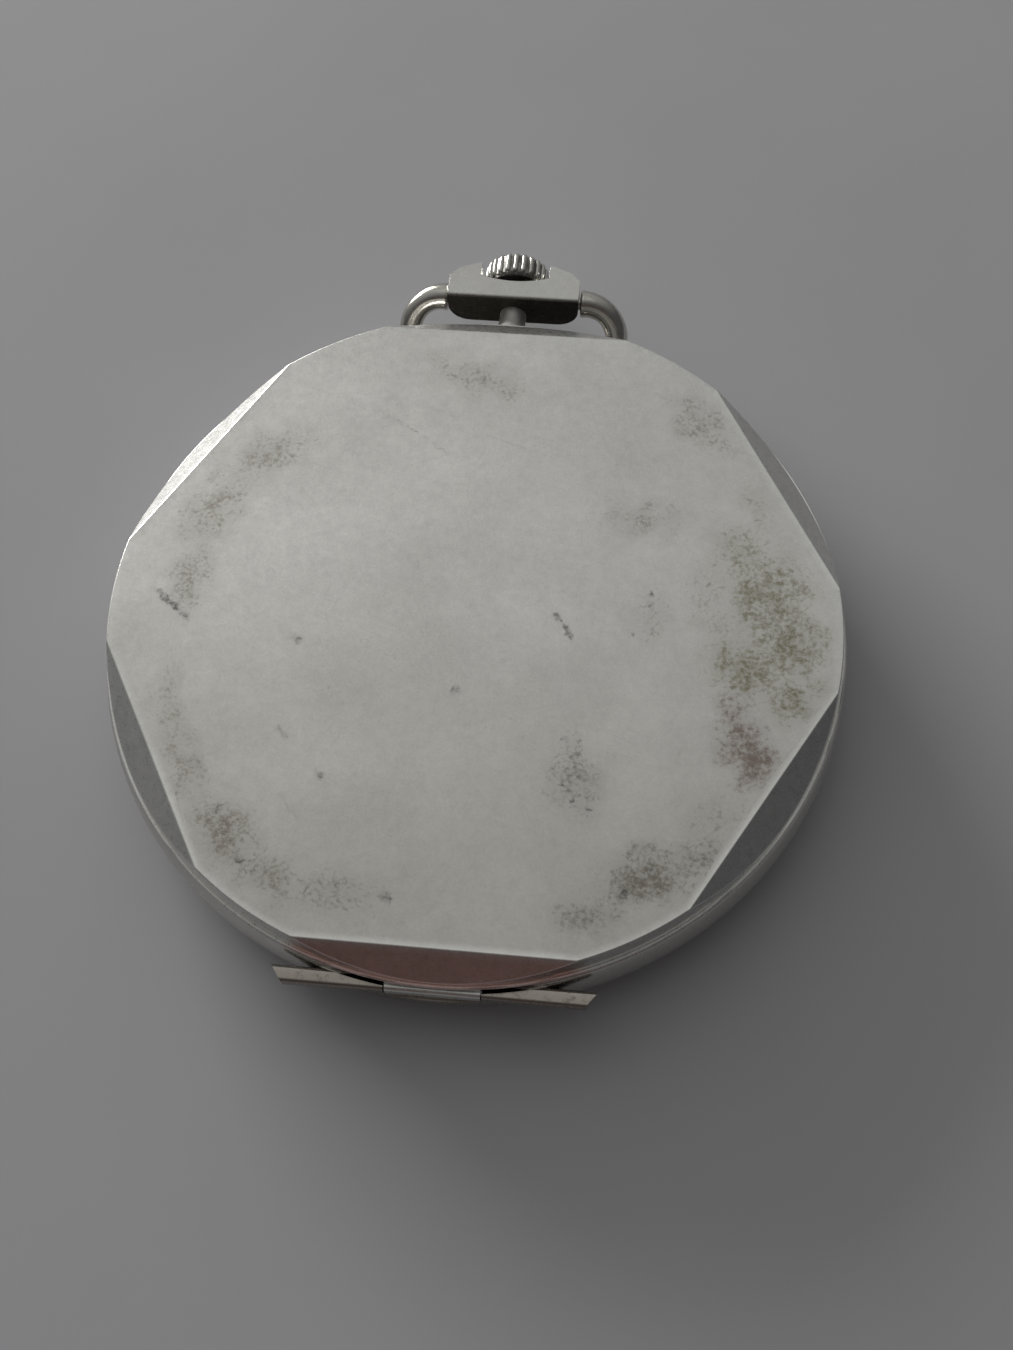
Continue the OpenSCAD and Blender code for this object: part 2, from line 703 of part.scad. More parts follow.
module balance_cock() {
    z0 = cock_under;
    reach = norm(cock_foot - balance_at);
    color("gainsboro") difference() {
        union() {
            at(balance_at, z0) cylinder(r = 1.7, h = bridge_top - z0, $fn = 48);
            at(cock_foot, plate_top) cylinder(r = 1.75, h = bridge_top - plate_top, $fn = 48);
            at(balance_at, z0) rotate(cock_angle) linear_extrude(bridge_top - z0)
                polygon([[0, -1.3], [reach, -1.7], [reach, 1.7], [0, 1.3]]);
        }
        jewel_seat(balance_at, 0.6);
        // seat for the regulator's ring
        at(balance_at, bridge_top - 0.2) difference() {
            cylinder(r = 1.8, h = 1, $fn = 48);
            cylinder(r = 1, h = 1, $fn = 48);
        }
        at(cock_screw, bridge_top - 0.4) cylinder(r = 0.82, h = 1, $fn = 32);
        at(cock_screw, plate_top - 1) cylinder(r = 0.4, h = 3, $fn = 24);
        // hole for the stud that holds the hairspring's end
        at(stud_at, z0 - e) cylinder(r = 0.28, h = 1, $fn = 24);
    }
}

module bridge_screws() {
    color("steelblue") {
        for (p = concat(barrel_screws, train_screws, [cock_screw])) at(p, bridge_top - 0.03) rotate(37 * p[0])
            screw(0.76, 0.36, 0.38, 2.3, $fn = 32);
        at(pallet_foot, 5.36) rotate(20) screw(0.68, 0.15, 0.38, 1.4, $fn = 32);
    }
}

// ring of ruby around each upper pivot
module jewels() {
    seats = [[centre, 0.75, 0.5], [third_at, 0.5, 0.5], [fourth_at, 0.5, 0.5], [escape_at, 0.45, 0.5],
        [balance_at, 0.6, 0.4]];
    color("crimson") for (s = seats) at(s[0], bridge_top - 0.05 - s[2]) difference() {
        cylinder(r = s[1], h = s[2], $fn = 32);
        translate([0, 0, -e]) cylinder(r = pivot_r + run, h = s[2] + 1, $fn = 24);
        translate([0, 0, s[2] - 0.12]) cylinder(r = 0.26, h = 1, $fn = 24);
    }
}

// ---------- winding work ----------

module barrel() {
    color("khaki") at(barrel_at, 3.65) difference() {
        union() {
            cylinder(r = 6.3, h = 1.45, $fn = 96);
            translate([0, 0, 0.65])
                pinion(barrel_module, barrel_teeth, 0.45, bearing(barrel_at, centre));
        }
        translate([0, 0, 0.25]) cylinder(r = 6, h = 3, $fn = 96);
        translate([0, 0, -e]) cylinder(r = 0.9 + run, h = 1, $fn = 32);
    }
}

module barrel_lid() {
    color("khaki") at(barrel_at, 5.1) difference() {
        cylinder(r = 6.25, h = 0.22, $fn = 96);
        translate([0, 0, -e]) cylinder(r = 0.9 + run, h = 1, $fn = 32);
    }
}

// the coiled spring as one sleeve that fills the drum's rim
module mainspring() {
    color("slategray") at(barrel_at, 3.95) difference() {
        cylinder(r = 5.95, h = 1.1, $fn = 96);
        translate([0, 0, -e]) cylinder(r = 3.2, h = 2, $fn = 64);
    }
}

module barrel_arbor() {
    square_w = 1;
    color("lightsteelblue") at(barrel_at, plate_z + 0.05) union() {
        cylinder(r = 0.6, h = 0.7, $fn = 32);
        translate([0, 0, 0.6]) cylinder(r = 0.9, h = wheel_recess - plate_z - 0.65, $fn = 32);
        translate([0, 0, 0.95]) cylinder(r = 1.5, h = 1, $fn = 48);
        translate([-square_w / 2, -square_w / 2, wheel_recess - plate_z - 0.1]) cube([square_w, square_w, 0.26]);
    }
}

module ratchet_wheel() {
    color("lightsteelblue") at(barrel_at, wheel_recess) difference() {
        pinion(winding_module, ratchet_teeth, 0.24, bearing(barrel_at, crown_wheel_at) + 180 / ratchet_teeth);
        translate([-0.5, -0.5, -e]) cube([1, 1, 1]);
    }
}

module ratchet_screw() {
    color("steelblue") at(barrel_at, bridge_top) rotate(15) screw(1.5, 0.11, 1.2, 0.11, $fn = 48);
}

click_at = barrel_at - [7.4, 0];

// pawl that rests against the ratchet wheel
module click() {
    color("lightsteelblue") at(click_at, wheel_recess) linear_extrude(0.24) difference() {
        union() {
            circle(0.75, $fn = 32);
            rotate(bearing(click_at, barrel_at) + 90) polygon([[0, -0.7], [1.25, -1.15], [1.4, -0.6], [0, 0.5]]);
        }
        circle(0.34, $fn = 24);
    }
}

module click_screw() {
    color("steelblue") at(click_at, bridge_top - 0.01) rotate(70) screw(0.6, 0.09, 0.3, 0.6, $fn = 32);
}

// spur teeth around the edge, and upright teeth under it for the winding pinion
face_r = 3.35;
face_len = 0.75;

module crown_wheel() {
    face_w = 0.17;
    color("lightsteelblue") at(crown_wheel_at, wheel_recess) union() {
        difference() {
            pinion(winding_module, crown_wheel_teeth, 0.24, bearing(crown_wheel_at, barrel_at));
            translate([0, 0, -e]) cylinder(r = 0.5 + run, h = 1, $fn = 32);
        }
        for (i = [0 : crown_wheel_teeth - 1]) rotate(90 + (i + 0.5) * 360 / crown_wheel_teeth)
            translate([face_r, -face_w / 2, -0.2]) cube([face_len, face_w, 0.2 + e]);
    }
}

module crown_wheel_screw() {
    color("steelblue") at(crown_wheel_at, bridge_top - 0.01) rotate(100) screw(1.3, 0.09, 0.48, 0.68, $fn = 48);
}

winding_tip_r = wheel_recess - 0.06 - stem_z;

module winding_pinion() {
    pitch = 360 / winding_leaves;
    root_r = winding_tip_r - 0.3;
    color("lightsteelblue") translate([0, pinion_y[0] + 0.03, stem_z]) rotate([-90, 0, 0]) difference() {
        linear_extrude(pinion_y[1] - pinion_y[0] - 0.03) rotate(-90) polygon([for (i = [0 : winding_leaves - 1])
            each [polar(root_r, (i - 0.26) * pitch), polar(winding_tip_r, (i - 0.12) * pitch),
                polar(winding_tip_r, (i + 0.12) * pitch), polar(root_r, (i + 0.26) * pitch)]]);
        translate([0, 0, -e]) cylinder(r = stem_r + run, h = 3, $fn = 32);
    }
}

module sliding_pinion() {
    square_w = 0.7;
    color("lightsteelblue") difference() {
        along_stem(1.35, clutch_y[0], clutch_y[1]);
        difference() {
            along_stem(2, clutch_groove - 0.32, clutch_groove + 0.32);
            along_stem(0.85, clutch_groove - 1, clutch_groove + 1);
        }
        translate([-square_w / 2, clutch_y[0] - 1, stem_z - square_w / 2])
            cube([square_w, clutch_y[1] - clutch_y[0] + 2, square_w]);
        // teeth on the end face that turns the intermediate wheel
        for (i = [0 : 5]) translate([0, clutch_y[0], stem_z]) rotate([0, i * 30, 0]) cube([3, 0.4, 0.3], center = true);
    }
}

lever_pivot = [lever_arm, stem_groove + pull / 2];
yoke_pivot = [-4.4, clutch_groove - clutch_slide / 2];

// flat lever on a post, with an upright pin at its end that rides in a groove
module pinned_lever(pivot, pin_at, w, h, pin_r, pin_top) {
    color("lightsteelblue") difference() {
        union() {
            at(pivot, motion_z) cylinder(r = 0.6, h = h, $fn = 32);
            at(pin_at, motion_z) cylinder(r = w / 2, h = h, $fn = 32);
            at(pivot, motion_z) rotate(bearing(pivot, pin_at)) translate([0, -w / 2, 0])
                cube([norm(pin_at - pivot), w, h]);
            at(pin_at, motion_z) cylinder(r = pin_r, h = pin_top - motion_z, $fn = 24);
        }
        at(pivot, motion_z - 1) cylinder(r = post_r + run, h = 3, $fn = 24);
    }
}

module setting_lever() {
    pinned_lever(lever_pivot, [0, stem_groove], 0.7, 0.3, 0.25, stem_z - 0.32);
}

module yoke() {
    pinned_lever(yoke_pivot, [0, clutch_groove], 0.7, 0.2, 0.22, stem_z - 0.92);
}

// ---------- motion work, behind the dial ----------

module cannon_pinion() {
    color("lightsteelblue") difference() {
        union() {
            translate([0, 0, 1.1]) cylinder(r = 0.4, h = motion_z - 1.1 + 0.3, $fn = 32);
            translate([0, 0, motion_z - 0.04])
                pinion(cannon_module, cannon_leaves, 0.32, bearing(centre, minute_at) + 180 / cannon_leaves);
        }
        translate([0, 0, 1]) cylinder(r = 0.22, h = 4, $fn = 24);
    }
}

module minute_wheel() {
    leaf_module = mesh_distance(cannon_module, cannon_leaves, minute_teeth) * 2 / (minute_leaves + hour_teeth);
    color("khaki") at(minute_at) difference() {
        union() {
            translate([0, 0, motion_z]) pinion(cannon_module, minute_teeth, 0.2, bearing(minute_at, centre));
            translate([0, 0, hour_z]) pinion(leaf_module, minute_leaves, motion_z - hour_z + e,
                bearing(minute_at, centre) + 180 / minute_leaves);
        }
        translate([0, 0, 2]) cylinder(r = post_r + run, h = 2, $fn = 24);
    }
}

module hour_wheel() {
    tooth_module = mesh_distance(cannon_module, cannon_leaves, minute_teeth) * 2 / (minute_leaves + hour_teeth);
    color("khaki") difference() {
        union() {
            translate([0, 0, hour_z]) pinion(tooth_module, hour_teeth, 0.22, bearing(centre, minute_at));
            translate([0, 0, 1.38]) cylinder(r = 0.82, h = hour_z - 1.38 + 0.1, $fn = 32);
        }
        translate([0, 0, 1]) cylinder(r = 0.4 + run, h = 3, $fn = 32);
    }
}

module setting_wheel() {
    // the minute wheel has a tooth towards the centre, which sets its phase here
    from_minute = bearing(minute_at, setting_at) - bearing(minute_at, centre);
    teeth_past = from_minute * minute_teeth / 360;
    phase = bearing(setting_at, minute_at) + (0.5 + teeth_past) * 360 / setting_teeth;
    color("khaki") at(setting_at, motion_z) difference() {
        pinion(cannon_module, setting_teeth, 0.2, phase);
        translate([0, 0, -1]) cylinder(r = post_r + run, h = 2, $fn = 24);
    }
}

module intermediate_wheel() {
    from_minute = bearing(minute_at, setting_at) - bearing(minute_at, centre);
    setting_phase = bearing(setting_at, minute_at) + (0.5 + from_minute * minute_teeth / 360) * 360 / setting_teeth;
    teeth_past = (90 - setting_phase) * setting_teeth / 360;
    phase = -90 + (0.5 + teeth_past) * 360 / idler_teeth;
    color("khaki") at(idler_at, motion_z) difference() {
        pinion(cannon_module, idler_teeth, 0.2, phase);
        translate([0, 0, -1]) cylinder(r = post_r + run, h = 2, $fn = 24);
    }
}

// ---------- going train ----------

module centre_wheel() {
    color("khaki") union() {
        translate([0, 0, centre_z])
            crossed_wheel(third_module, centre_teeth, 0.16, bearing(centre, third_at), 1.2, 5);
        translate([0, 0, 4.2])
            pinion(barrel_module, centre_leaves, centre_z - 4.2 + e, bearing(centre, barrel_at) + 180 / centre_leaves);
        translate([0, 0, plate_z - 0.05]) cylinder(r = 0.5, h = 1.3, $fn = 32);
        translate([0, 0, 1.15]) cylinder(r = 0.22, h = 2, $fn = 24);
        translate([0, 0, 5]) cylinder(r = pivot_r, h = bridge_top - 0.1 - 5, $fn = 24);
    }
}

module third_wheel() {
    color("khaki") at(third_at) union() {
        translate([0, 0, third_z])
            crossed_wheel(fourth_module, third_teeth, 0.15, bearing(third_at, fourth_at), 0.9, 5);
        translate([0, 0, centre_z - 0.08])
            pinion(third_module, third_leaves, 0.34, bearing(third_at, centre) + 180 / third_leaves);
        arbor(0.28, bridge_top - 0.1, bridge_z - run);
    }
}

module fourth_wheel() {
    color("khaki") at(fourth_at) union() {
        translate([0, 0, fourth_z])
            crossed_wheel(escape_module, fourth_teeth, 0.14, bearing(fourth_at, escape_at), 0.8, 5);
        translate([0, 0, plate_top + 0.04])
            pinion(fourth_module, fourth_leaves, fourth_z - plate_top, bearing(fourth_at, third_at) + 180 / fourth_leaves);
        translate([0, 0, 1.7]) cylinder(r = 0.12, h = bridge_top - 0.1 - 1.7, $fn = 24);
        translate([0, 0, 2]) cylinder(r = 0.2, h = fourth_z - 2, $fn = 24);
    }
}

// club-toothed wheel that the lever lets past one tooth at a time
module escape_wheel() {
    pitch = 360 / escape_teeth;
    body_r = escape_r - 0.75;
    color("khaki") at(escape_at) union() {
        translate([0, 0, third_z]) linear_extrude(0.13) difference() {
            rotate(lever_angle + pitch / 2) polygon([for (i = [0 : escape_teeth - 1]) each [
                polar(body_r, i * pitch - 0.3 * pitch), polar(escape_r - 0.12, i * pitch - 0.05 * pitch),
                polar(escape_r, i * pitch + 0.12 * pitch), polar(body_r, i * pitch + 0.02 * pitch)]]);
            difference() {
                circle(body_r - 0.35, $fn = 48);
                circle(0.65, $fn = 32);
                for (i = [0 : 3]) rotate(90 * i) translate([0, -0.17]) square([body_r, 0.34]);
            }
        }
        translate([0, 0, third_z + 0.1])
            pinion(escape_module, escape_leaves, 0.4, bearing(escape_at, fourth_at) + 180 / escape_leaves);
        arbor(0.22, bridge_top - 0.1, bridge_z - run);
    }
}

// two arms with ruby stones towards the escape wheel and a forked end towards the balance
module pallet_fork() {
    arm_angle = 106;
    color("lightsteelblue") at(pallet_at) union() {
        translate([0, 0, third_z]) rotate(lever_angle) linear_extrude(0.13) union() {
            circle(0.5, $fn = 24);
            translate([0, -0.18]) square([pallet_reach - 1.35, 0.36]);
            for (s = [-1, 1]) {
                translate([pallet_reach - 1.45, s * 0.28 - 0.12]) square([0.62, 0.24]);
                rotate(s * arm_angle) translate([0, -0.22]) square([1.55, 0.44]);
            }
            translate([pallet_reach - 1.5, -0.4]) square([0.2, 0.8]);
        }
        arbor(0.24, cock_z[1] - 0.02, cock_z[0] - run);
    }
}

module balance_wheel() {
    rim_w = 0.55;
    color("khaki") at(balance_at) union() {
        translate([0, 0, balance_z]) linear_extrude(0.2) difference() {
            circle(balance_r, $fn = 120);
            difference() {
                circle(balance_r - rim_w, $fn = 120);
                circle(0.75, $fn = 32);
                rotate(lever_angle) square([2 * balance_r, 0.6], center = true);
            }
        }
        arbor(0.26, bridge_top - 0.1, cock_under - 0.05);
    }
}

// disc that carries the impulse jewel
module roller() {
    color("lightsteelblue") at(balance_at, third_z + 0.15) difference() {
        union() {
            cylinder(r = 0.75, h = 0.3, $fn = 32);
            rotate(lever_angle + 180) translate([0.5, 0, -0.2]) cylinder(r = 0.12, h = 0.3, $fn = 16);
        }
        translate([0, 0, -1]) cylinder(r = 0.26, h = 3, $fn = 24);
    }
}

hairspring_r = 2.5;
stud_angle = cock_angle + 15;
stud_at = balance_at + polar(hairspring_r + 0.33, stud_angle);

// flat spiral drawn as rings joined by a radial step, from the collet to the stud
module hairspring() {
    blade = 0.09;
    inner_r = 0.75;
    step = (hairspring_r - inner_r) / hairspring_turns;
    segments = 24;
    total = segments * hairspring_turns;
    function spiral(i, offset) =
        polar(inner_r + step * i / segments + offset, stud_angle + i * 360 / segments);
    color("steelblue") at(balance_at, 5.74) union() {
        linear_extrude(0.12) polygon(concat([for (i = [0 : total]) spiral(i, -blade / 2)],
            [for (i = [total : -1 : 0]) spiral(i, blade / 2)]));
        difference() {
            cylinder(r = inner_r, h = 0.12, $fn = 32);
            translate([0, 0, -1]) cylinder(r = 0.26, h = 3, $fn = 24);
        }
    }
}

module stud() {
    color("lightsteelblue") at(stud_at, 5.72) cylinder(r = 0.24, h = 0.6, $fn = 24);
}

// ring with a pointer, turned a few degrees to set the rate
module regulator() {
    color("lightsteelblue") at(balance_at, bridge_top - 0.18) linear_extrude(0.15) difference() {
        union() {
            circle(1.6, $fn = 48);
            rotate(cock_angle + 90) translate([0, -0.2]) square([3.2, 0.4]);
        }
        circle(1 + run, $fn = 48);
    }
}

mid_case();
case_screws();
back_cover();
hinge_pin();
bezel();
crystal();
inner_cover();
inner_glass();
pendant_neck();
pendant_bar();
bow();
crown();
winding_stem();
dial();
dial_markers();
hour_hand();
minute_hand();
seconds_hand();
main_plate();
barrel_bridge();
train_bridge();
pallet_cock();
balance_cock();
bridge_screws();
jewels();
barrel();
barrel_lid();
mainspring();
barrel_arbor();
ratchet_wheel();
ratchet_screw();
click();
click_screw();
crown_wheel();
crown_wheel_screw();
winding_pinion();
sliding_pinion();
setting_lever();
yoke();
centre_wheel();
cannon_pinion();
minute_wheel();
hour_wheel();
setting_wheel();
intermediate_wheel();
third_wheel();
fourth_wheel();
escape_wheel();
pallet_fork();
balance_wheel();
roller();
hairspring();
regulator();
stud();
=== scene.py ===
import math

import bmesh
import bpy
import numpy as np
from mathutils import Matrix, Vector, geometry, noise


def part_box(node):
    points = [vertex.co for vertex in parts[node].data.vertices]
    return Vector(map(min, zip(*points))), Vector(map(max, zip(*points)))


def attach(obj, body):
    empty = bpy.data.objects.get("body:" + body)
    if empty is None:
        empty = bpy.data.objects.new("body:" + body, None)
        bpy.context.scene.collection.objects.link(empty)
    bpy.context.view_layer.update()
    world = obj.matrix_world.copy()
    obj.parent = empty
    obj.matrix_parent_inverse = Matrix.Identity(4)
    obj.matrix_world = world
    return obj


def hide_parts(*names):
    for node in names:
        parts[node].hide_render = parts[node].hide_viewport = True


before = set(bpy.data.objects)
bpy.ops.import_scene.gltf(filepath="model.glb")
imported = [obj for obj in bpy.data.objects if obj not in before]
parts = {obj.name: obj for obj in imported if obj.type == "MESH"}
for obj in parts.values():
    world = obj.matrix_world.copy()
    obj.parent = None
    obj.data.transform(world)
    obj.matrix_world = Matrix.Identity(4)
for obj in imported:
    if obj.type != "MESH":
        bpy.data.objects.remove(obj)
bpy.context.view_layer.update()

scene = bpy.context.scene
scene.view_settings.view_transform = "Standard"

# ---------------------------------------------------------------------------------------------------------
# The sheet the watch lies on, the room around it and the camera.
# A pale sheet under a bright ceiling, with one window low behind the left shoulder of the watch, and a room
# that gets darker and warmer towards the front and the right.
# ---------------------------------------------------------------------------------------------------------
mm = 0.001


def wire(tree, kind, *sockets, **settings):
    """Adds a node; each socket is (name or index, value or the socket that feeds it)."""
    made = tree.nodes.new(kind)
    for key, value in settings.items():
        setattr(made, key, value)
    for socket, value in sockets:
        if isinstance(value, bpy.types.NodeSocket):
            tree.links.new(value, made.inputs[socket])
        else:
            made.inputs[socket].default_value = value
    return made


def new_material(name):
    material = bpy.data.materials.new(name)
    material.use_nodes = True
    surface = material.node_tree.nodes["Principled BSDF"]
    return material, material.node_tree, surface


def feed(tree, surface, **sockets):
    """Wires or sets the finish's own sockets."""
    for name, value in sockets.items():
        socket = surface.inputs[name.replace("_", " ")]
        if isinstance(value, bpy.types.NodeSocket):
            tree.links.new(value, socket)
        else:
            socket.default_value = value


def own_place(tree):
    return wire(tree, "ShaderNodeTexCoord").outputs["Object"]


def noise_at(tree, place, scale, detail, roughness=0.5):
    return wire(
        tree, "ShaderNodeTexNoise", ("Vector", place), ("Scale", scale), ("Detail", detail),
        ("Roughness", roughness),
    ).outputs["Fac"]


def blended(tree, share, first, second):
    return wire(tree, "ShaderNodeMix", (0, share), (6, first), (7, second), data_type="RGBA").outputs[2]


def eased(tree, value, low, high, to_low=0.0, to_high=1.0):
    """Turns one span of a value into another, with soft ends."""
    return wire(
        tree, "ShaderNodeMapRange", ("Value", value), ("From Min", low), ("From Max", high),
        ("To Min", to_low), ("To Max", to_high), interpolation_type="SMOOTHSTEP",
    ).outputs[0]


paper, paper_tree, paper_surface = new_material("pale_sheet")
paper_cloud = noise_at(paper_tree, own_place(paper_tree), 40.0, 4.0)
paper_tone = blended(paper_tree, paper_cloud, (0.43, 0.43, 0.45, 1), (0.49, 0.49, 0.51, 1))
feed(paper_tree, paper_surface, Base_Color=paper_tone, Roughness=0.85)

sheet_mesh = bpy.data.meshes.new("sheet")
sheet_bm = bmesh.new()
bmesh.ops.create_grid(sheet_bm, x_segments=2, y_segments=2, size=1.2)
sheet_bm.to_mesh(sheet_mesh)
sheet_bm.free()
sheet_mesh.materials.append(paper)
sheet = bpy.data.objects.new("sheet", sheet_mesh)
scene.collection.objects.link(sheet)

room = bpy.data.worlds.new("room")
scene.world = room
room.use_nodes = True
room_tree = room.node_tree
room_way = wire(room_tree, "ShaderNodeTexCoord").outputs["Generated"]


def room_part(towards, low, high):
    """How far a direction leans towards another, from 0 to 1."""
    lean = wire(room_tree, "ShaderNodeVectorMath", (0, room_way), (1, towards), operation="DOT_PRODUCT")
    return eased(room_tree, lean.outputs["Value"], low, high)


front_part = room_part((0, -1, 0), 0.45, 0.85)
ceiling_part = room_part((-0.30, 0.62, 0.72), 0.10, 1.02)
room_tone = blended(room_tree, front_part, (0.075, 0.075, 0.078, 1), (0.094, 0.072, 0.067, 1))
room_tone = blended(room_tree, ceiling_part, room_tone, (0.43, 0.435, 0.425, 1))
# seen straight on, the room is a plain backdrop
seen_straight = wire(room_tree, "ShaderNodeLightPath").outputs["Is Camera Ray"]
room_light = room_tree.nodes["Background"]
room_seen = blended(room_tree, seen_straight, room_tone, (0.36, 0.36, 0.37, 1))
room_tree.links.new(room_seen, room_light.inputs["Color"])
room_light.inputs["Strength"].default_value = 1.0


def soft_light(name, place, size, watts, tint, towards=(0, 0, 0.004)):
    lamp = bpy.data.lights.new(name, "AREA")
    lamp.shape = "RECTANGLE"
    lamp.size, lamp.size_y = size
    lamp.energy = watts
    lamp.color = tint
    holder = bpy.data.objects.new(name, lamp)
    holder.location = place
    holder.rotation_euler = (Vector(towards) - Vector(place)).to_track_quat("-Z", "Y").to_euler()
    scene.collection.objects.link(holder)


soft_light("window", (-0.40, 0.43, 0.13), (0.34, 0.22), 3.4, (1.0, 0.985, 0.96))
soft_light("ceiling", (-0.06, 0.20, 0.75), (0.6, 0.5), 0.15, (1.0, 1.0, 0.985))

camera_data = bpy.data.cameras.new("camera")
camera_data.sensor_width = 36
camera_data.lens = 42.67
camera_data.clip_start = 0.005
camera_data.clip_end = 10
camera = bpy.data.objects.new("camera", camera_data)
# its right, its up and the way back from the watch
camera_axes = Matrix((
    (0.99466, 0.09684, -0.03569), (-0.07305, 0.90486, 0.41940), (0.07290, -0.41456, 0.90710),
))
camera.matrix_world = Matrix.Translation((0.00968, -0.0447, 0.0966)) @ camera_axes.transposed().to_4x4()
scene.collection.objects.link(camera)
scene.camera = camera

# ---------------------------------------------------------------------------------------------------------
# Back cover: a sheet of silver pressed over a die, with a flat table, six bevels and a rolled lip that snaps
# over the neck of the case. Its middle hinge knuckle is soldered on at 6 o'clock.
# The table is satin from wear, paler along its edges, with brown and olive tarnish in patches.
# ---------------------------------------------------------------------------------------------------------
cover_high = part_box("back_cover")[1]
cover_top = cover_high.z / mm
lip_edge = cover_high.x / mm
lip_floor = 5.85
table_r = 23.0
table_apothem = 21.46
bevel_fall = math.radians(39)
sheet_t = 0.45


def spun(bm, profile, steps, turn=None, closed=True):
    """Spins a profile of (radius, height) points, in mm, round Z. A point on the axis closes the end."""
    turn = turn or Matrix.Identity(4)
    rings = []
    for radius, height in profile:
        if radius < 1e-6:
            rings.append([bm.verts.new(turn @ Vector((0, 0, height * mm)))])
            continue
        rings.append([
            bm.verts.new(turn @ Vector((radius * mm * math.cos(a), radius * mm * math.sin(a), height * mm)))
            for a in (2 * math.pi * k / steps for k in range(steps))
        ])
    pairs = list(zip(rings, rings[1:]))
    if closed:
        pairs.append((rings[-1], rings[0]))
    faces = []
    for low, high in pairs:
        if len(low) == 1 and len(high) == 1:
            continue
        for k in range(steps):
            n = (k + 1) % steps
            if len(low) == 1:
                corners = (low[0], high[n], high[k])
            elif len(high) == 1:
                corners = (low[k], low[n], high[0])
            else:
                corners = (low[k], low[n], high[n], high[k])
            faces.append(bm.faces.new(corners))
    return faces


def softened(corners, steps=4):
    """A profile whose corners are rounded: each corner is (radius, height, rounding)."""
    points = []
    count = len(corners)
    for i, corner in enumerate(corners):
        here = Vector(corner[:2])
        rounding = corner[2] if len(corner) > 2 else 0
        if not rounding:
            points.append(tuple(here))
            continue
        back = Vector(corners[i - 1][:2]) - here
        on = Vector(corners[(i + 1) % count][:2]) - here
        half = back.angle(on) / 2
        run = min(rounding / math.tan(half), back.length * 0.48, on.length * 0.48)
        radius = run * math.tan(half)
        middle = here + (back.normalized() + on.normalized()).normalized() * (radius / math.sin(half))
        start = here + back.normalized() * run - middle
        end = here + on.normalized() * run - middle
        sweep = start.angle_signed(end)
        for s in range(steps + 1):
            a = -sweep * s / steps
            points.append(tuple(middle + Vector((
                start.x * math.cos(a) - start.y * math.sin(a), start.x * math.sin(a) + start.y * math.cos(a)
            ))))
    return points


def as_piece(name, bm, material, body, stands_for, bevel=0.0, smooth_angle=35):
    """Turns a mesh into a finished piece: outward faces, worn edges, shading and its place in the watch."""
    bmesh.ops.remove_doubles(bm, verts=bm.verts, dist=1e-7)
    bmesh.ops.recalc_face_normals(bm, faces=bm.faces)
    if bevel:
        sharp = [
            edge for edge in bm.edges
            if len(edge.link_faces) == 2 and edge.calc_face_angle() > math.radians(28)
        ]
        bmesh.ops.bevel(
            bm, geom=sharp, offset=bevel * mm, segments=3, profile=0.5, affect="EDGES", clamp_overlap=True
        )
        bmesh.ops.remove_doubles(bm, verts=bm.verts, dist=1e-7)
        bmesh.ops.dissolve_degenerate(bm, edges=bm.edges, dist=1e-7)
    for face in bm.faces:
        face.smooth = True
        face.material_index = 0
    for edge in bm.edges:
        edge.smooth = not (len(edge.link_faces) == 2 and edge.calc_face_angle() > math.radians(smooth_angle))
    mesh = bpy.data.meshes.new(name)
    bm.to_mesh(mesh)
    bm.free()
    mesh.materials.append(material)
    made = bpy.data.objects.new(name, mesh)
    scene.collection.objects.link(made)
    weigh = made.modifiers.new("flat faces stay flat", "WEIGHTED_NORMAL")
    weigh.keep_sharp = True
    weigh.weight = 90
    finished = bpy.data.meshes.new_from_object(made.evaluated_get(bpy.context.evaluated_depsgraph_get()))
    made.modifiers.clear()
    made.data = finished
    made.data.name = name
    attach(made, body)
    if stands_for:
        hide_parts(*stands_for)
    return made


# the wear that all the silver shares: hairlines, a soft cloud, fine speckles where tarnish gathers
silver_wear = bpy.data.node_groups.new("silver_wear", "ShaderNodeTree")
for label, kind, start in (
    ("Clean", "NodeSocketColor", (0.7, 0.7, 0.68, 1)), ("Tarnish", "NodeSocketColor", (0.2, 0.17, 0.12, 1)),
    ("Stain", "NodeSocketFloat", 0.0), ("Cloud", "NodeSocketFloat", 0.5),
    ("Hairlines", "NodeSocketFloat", 0.5), ("Polish", "NodeSocketFloat", 0.3),
):
    socket = silver_wear.interface.new_socket(label, in_out="INPUT", socket_type=kind)
    socket.default_value = start
for label, kind in (
    ("Color", "NodeSocketColor"), ("Roughness", "NodeSocketFloat"), ("Height", "NodeSocketFloat")
):
    silver_wear.interface.new_socket(label, in_out="OUTPUT", socket_type=kind)
wear_in = silver_wear.nodes.new("NodeGroupInput")
wear_out = silver_wear.nodes.new("NodeGroupOutput")


def parted(tree, vector):
    """The three values of a vector."""
    return wire(tree, "ShaderNodeSeparateXYZ", (0, vector)).outputs


def vector_maths(tree, operation, first, second):
    return wire(tree, "ShaderNodeVectorMath", (0, first), (1, second), operation=operation).outputs[0]


def dented(tree, height, strength, distance=0.00001):
    return wire(
        tree, "ShaderNodeBump", ("Strength", strength), ("Distance", distance), ("Height", height)
    ).outputs[0]


def maths(tree, operation, *values, clamp=False):
    return wire(tree, "ShaderNodeMath", *enumerate(values), operation=operation, use_clamp=clamp).outputs[0]


def times(tree, first, second):
    return maths(tree, "MULTIPLY", first, second)


def plus(tree, first, second):
    return maths(tree, "ADD", first, second)


def swing(tree, value, amount):
    """A noise turned into a plus or minus round 0."""
    return times(tree, maths(tree, "SUBTRACT", value, 0.5), amount)


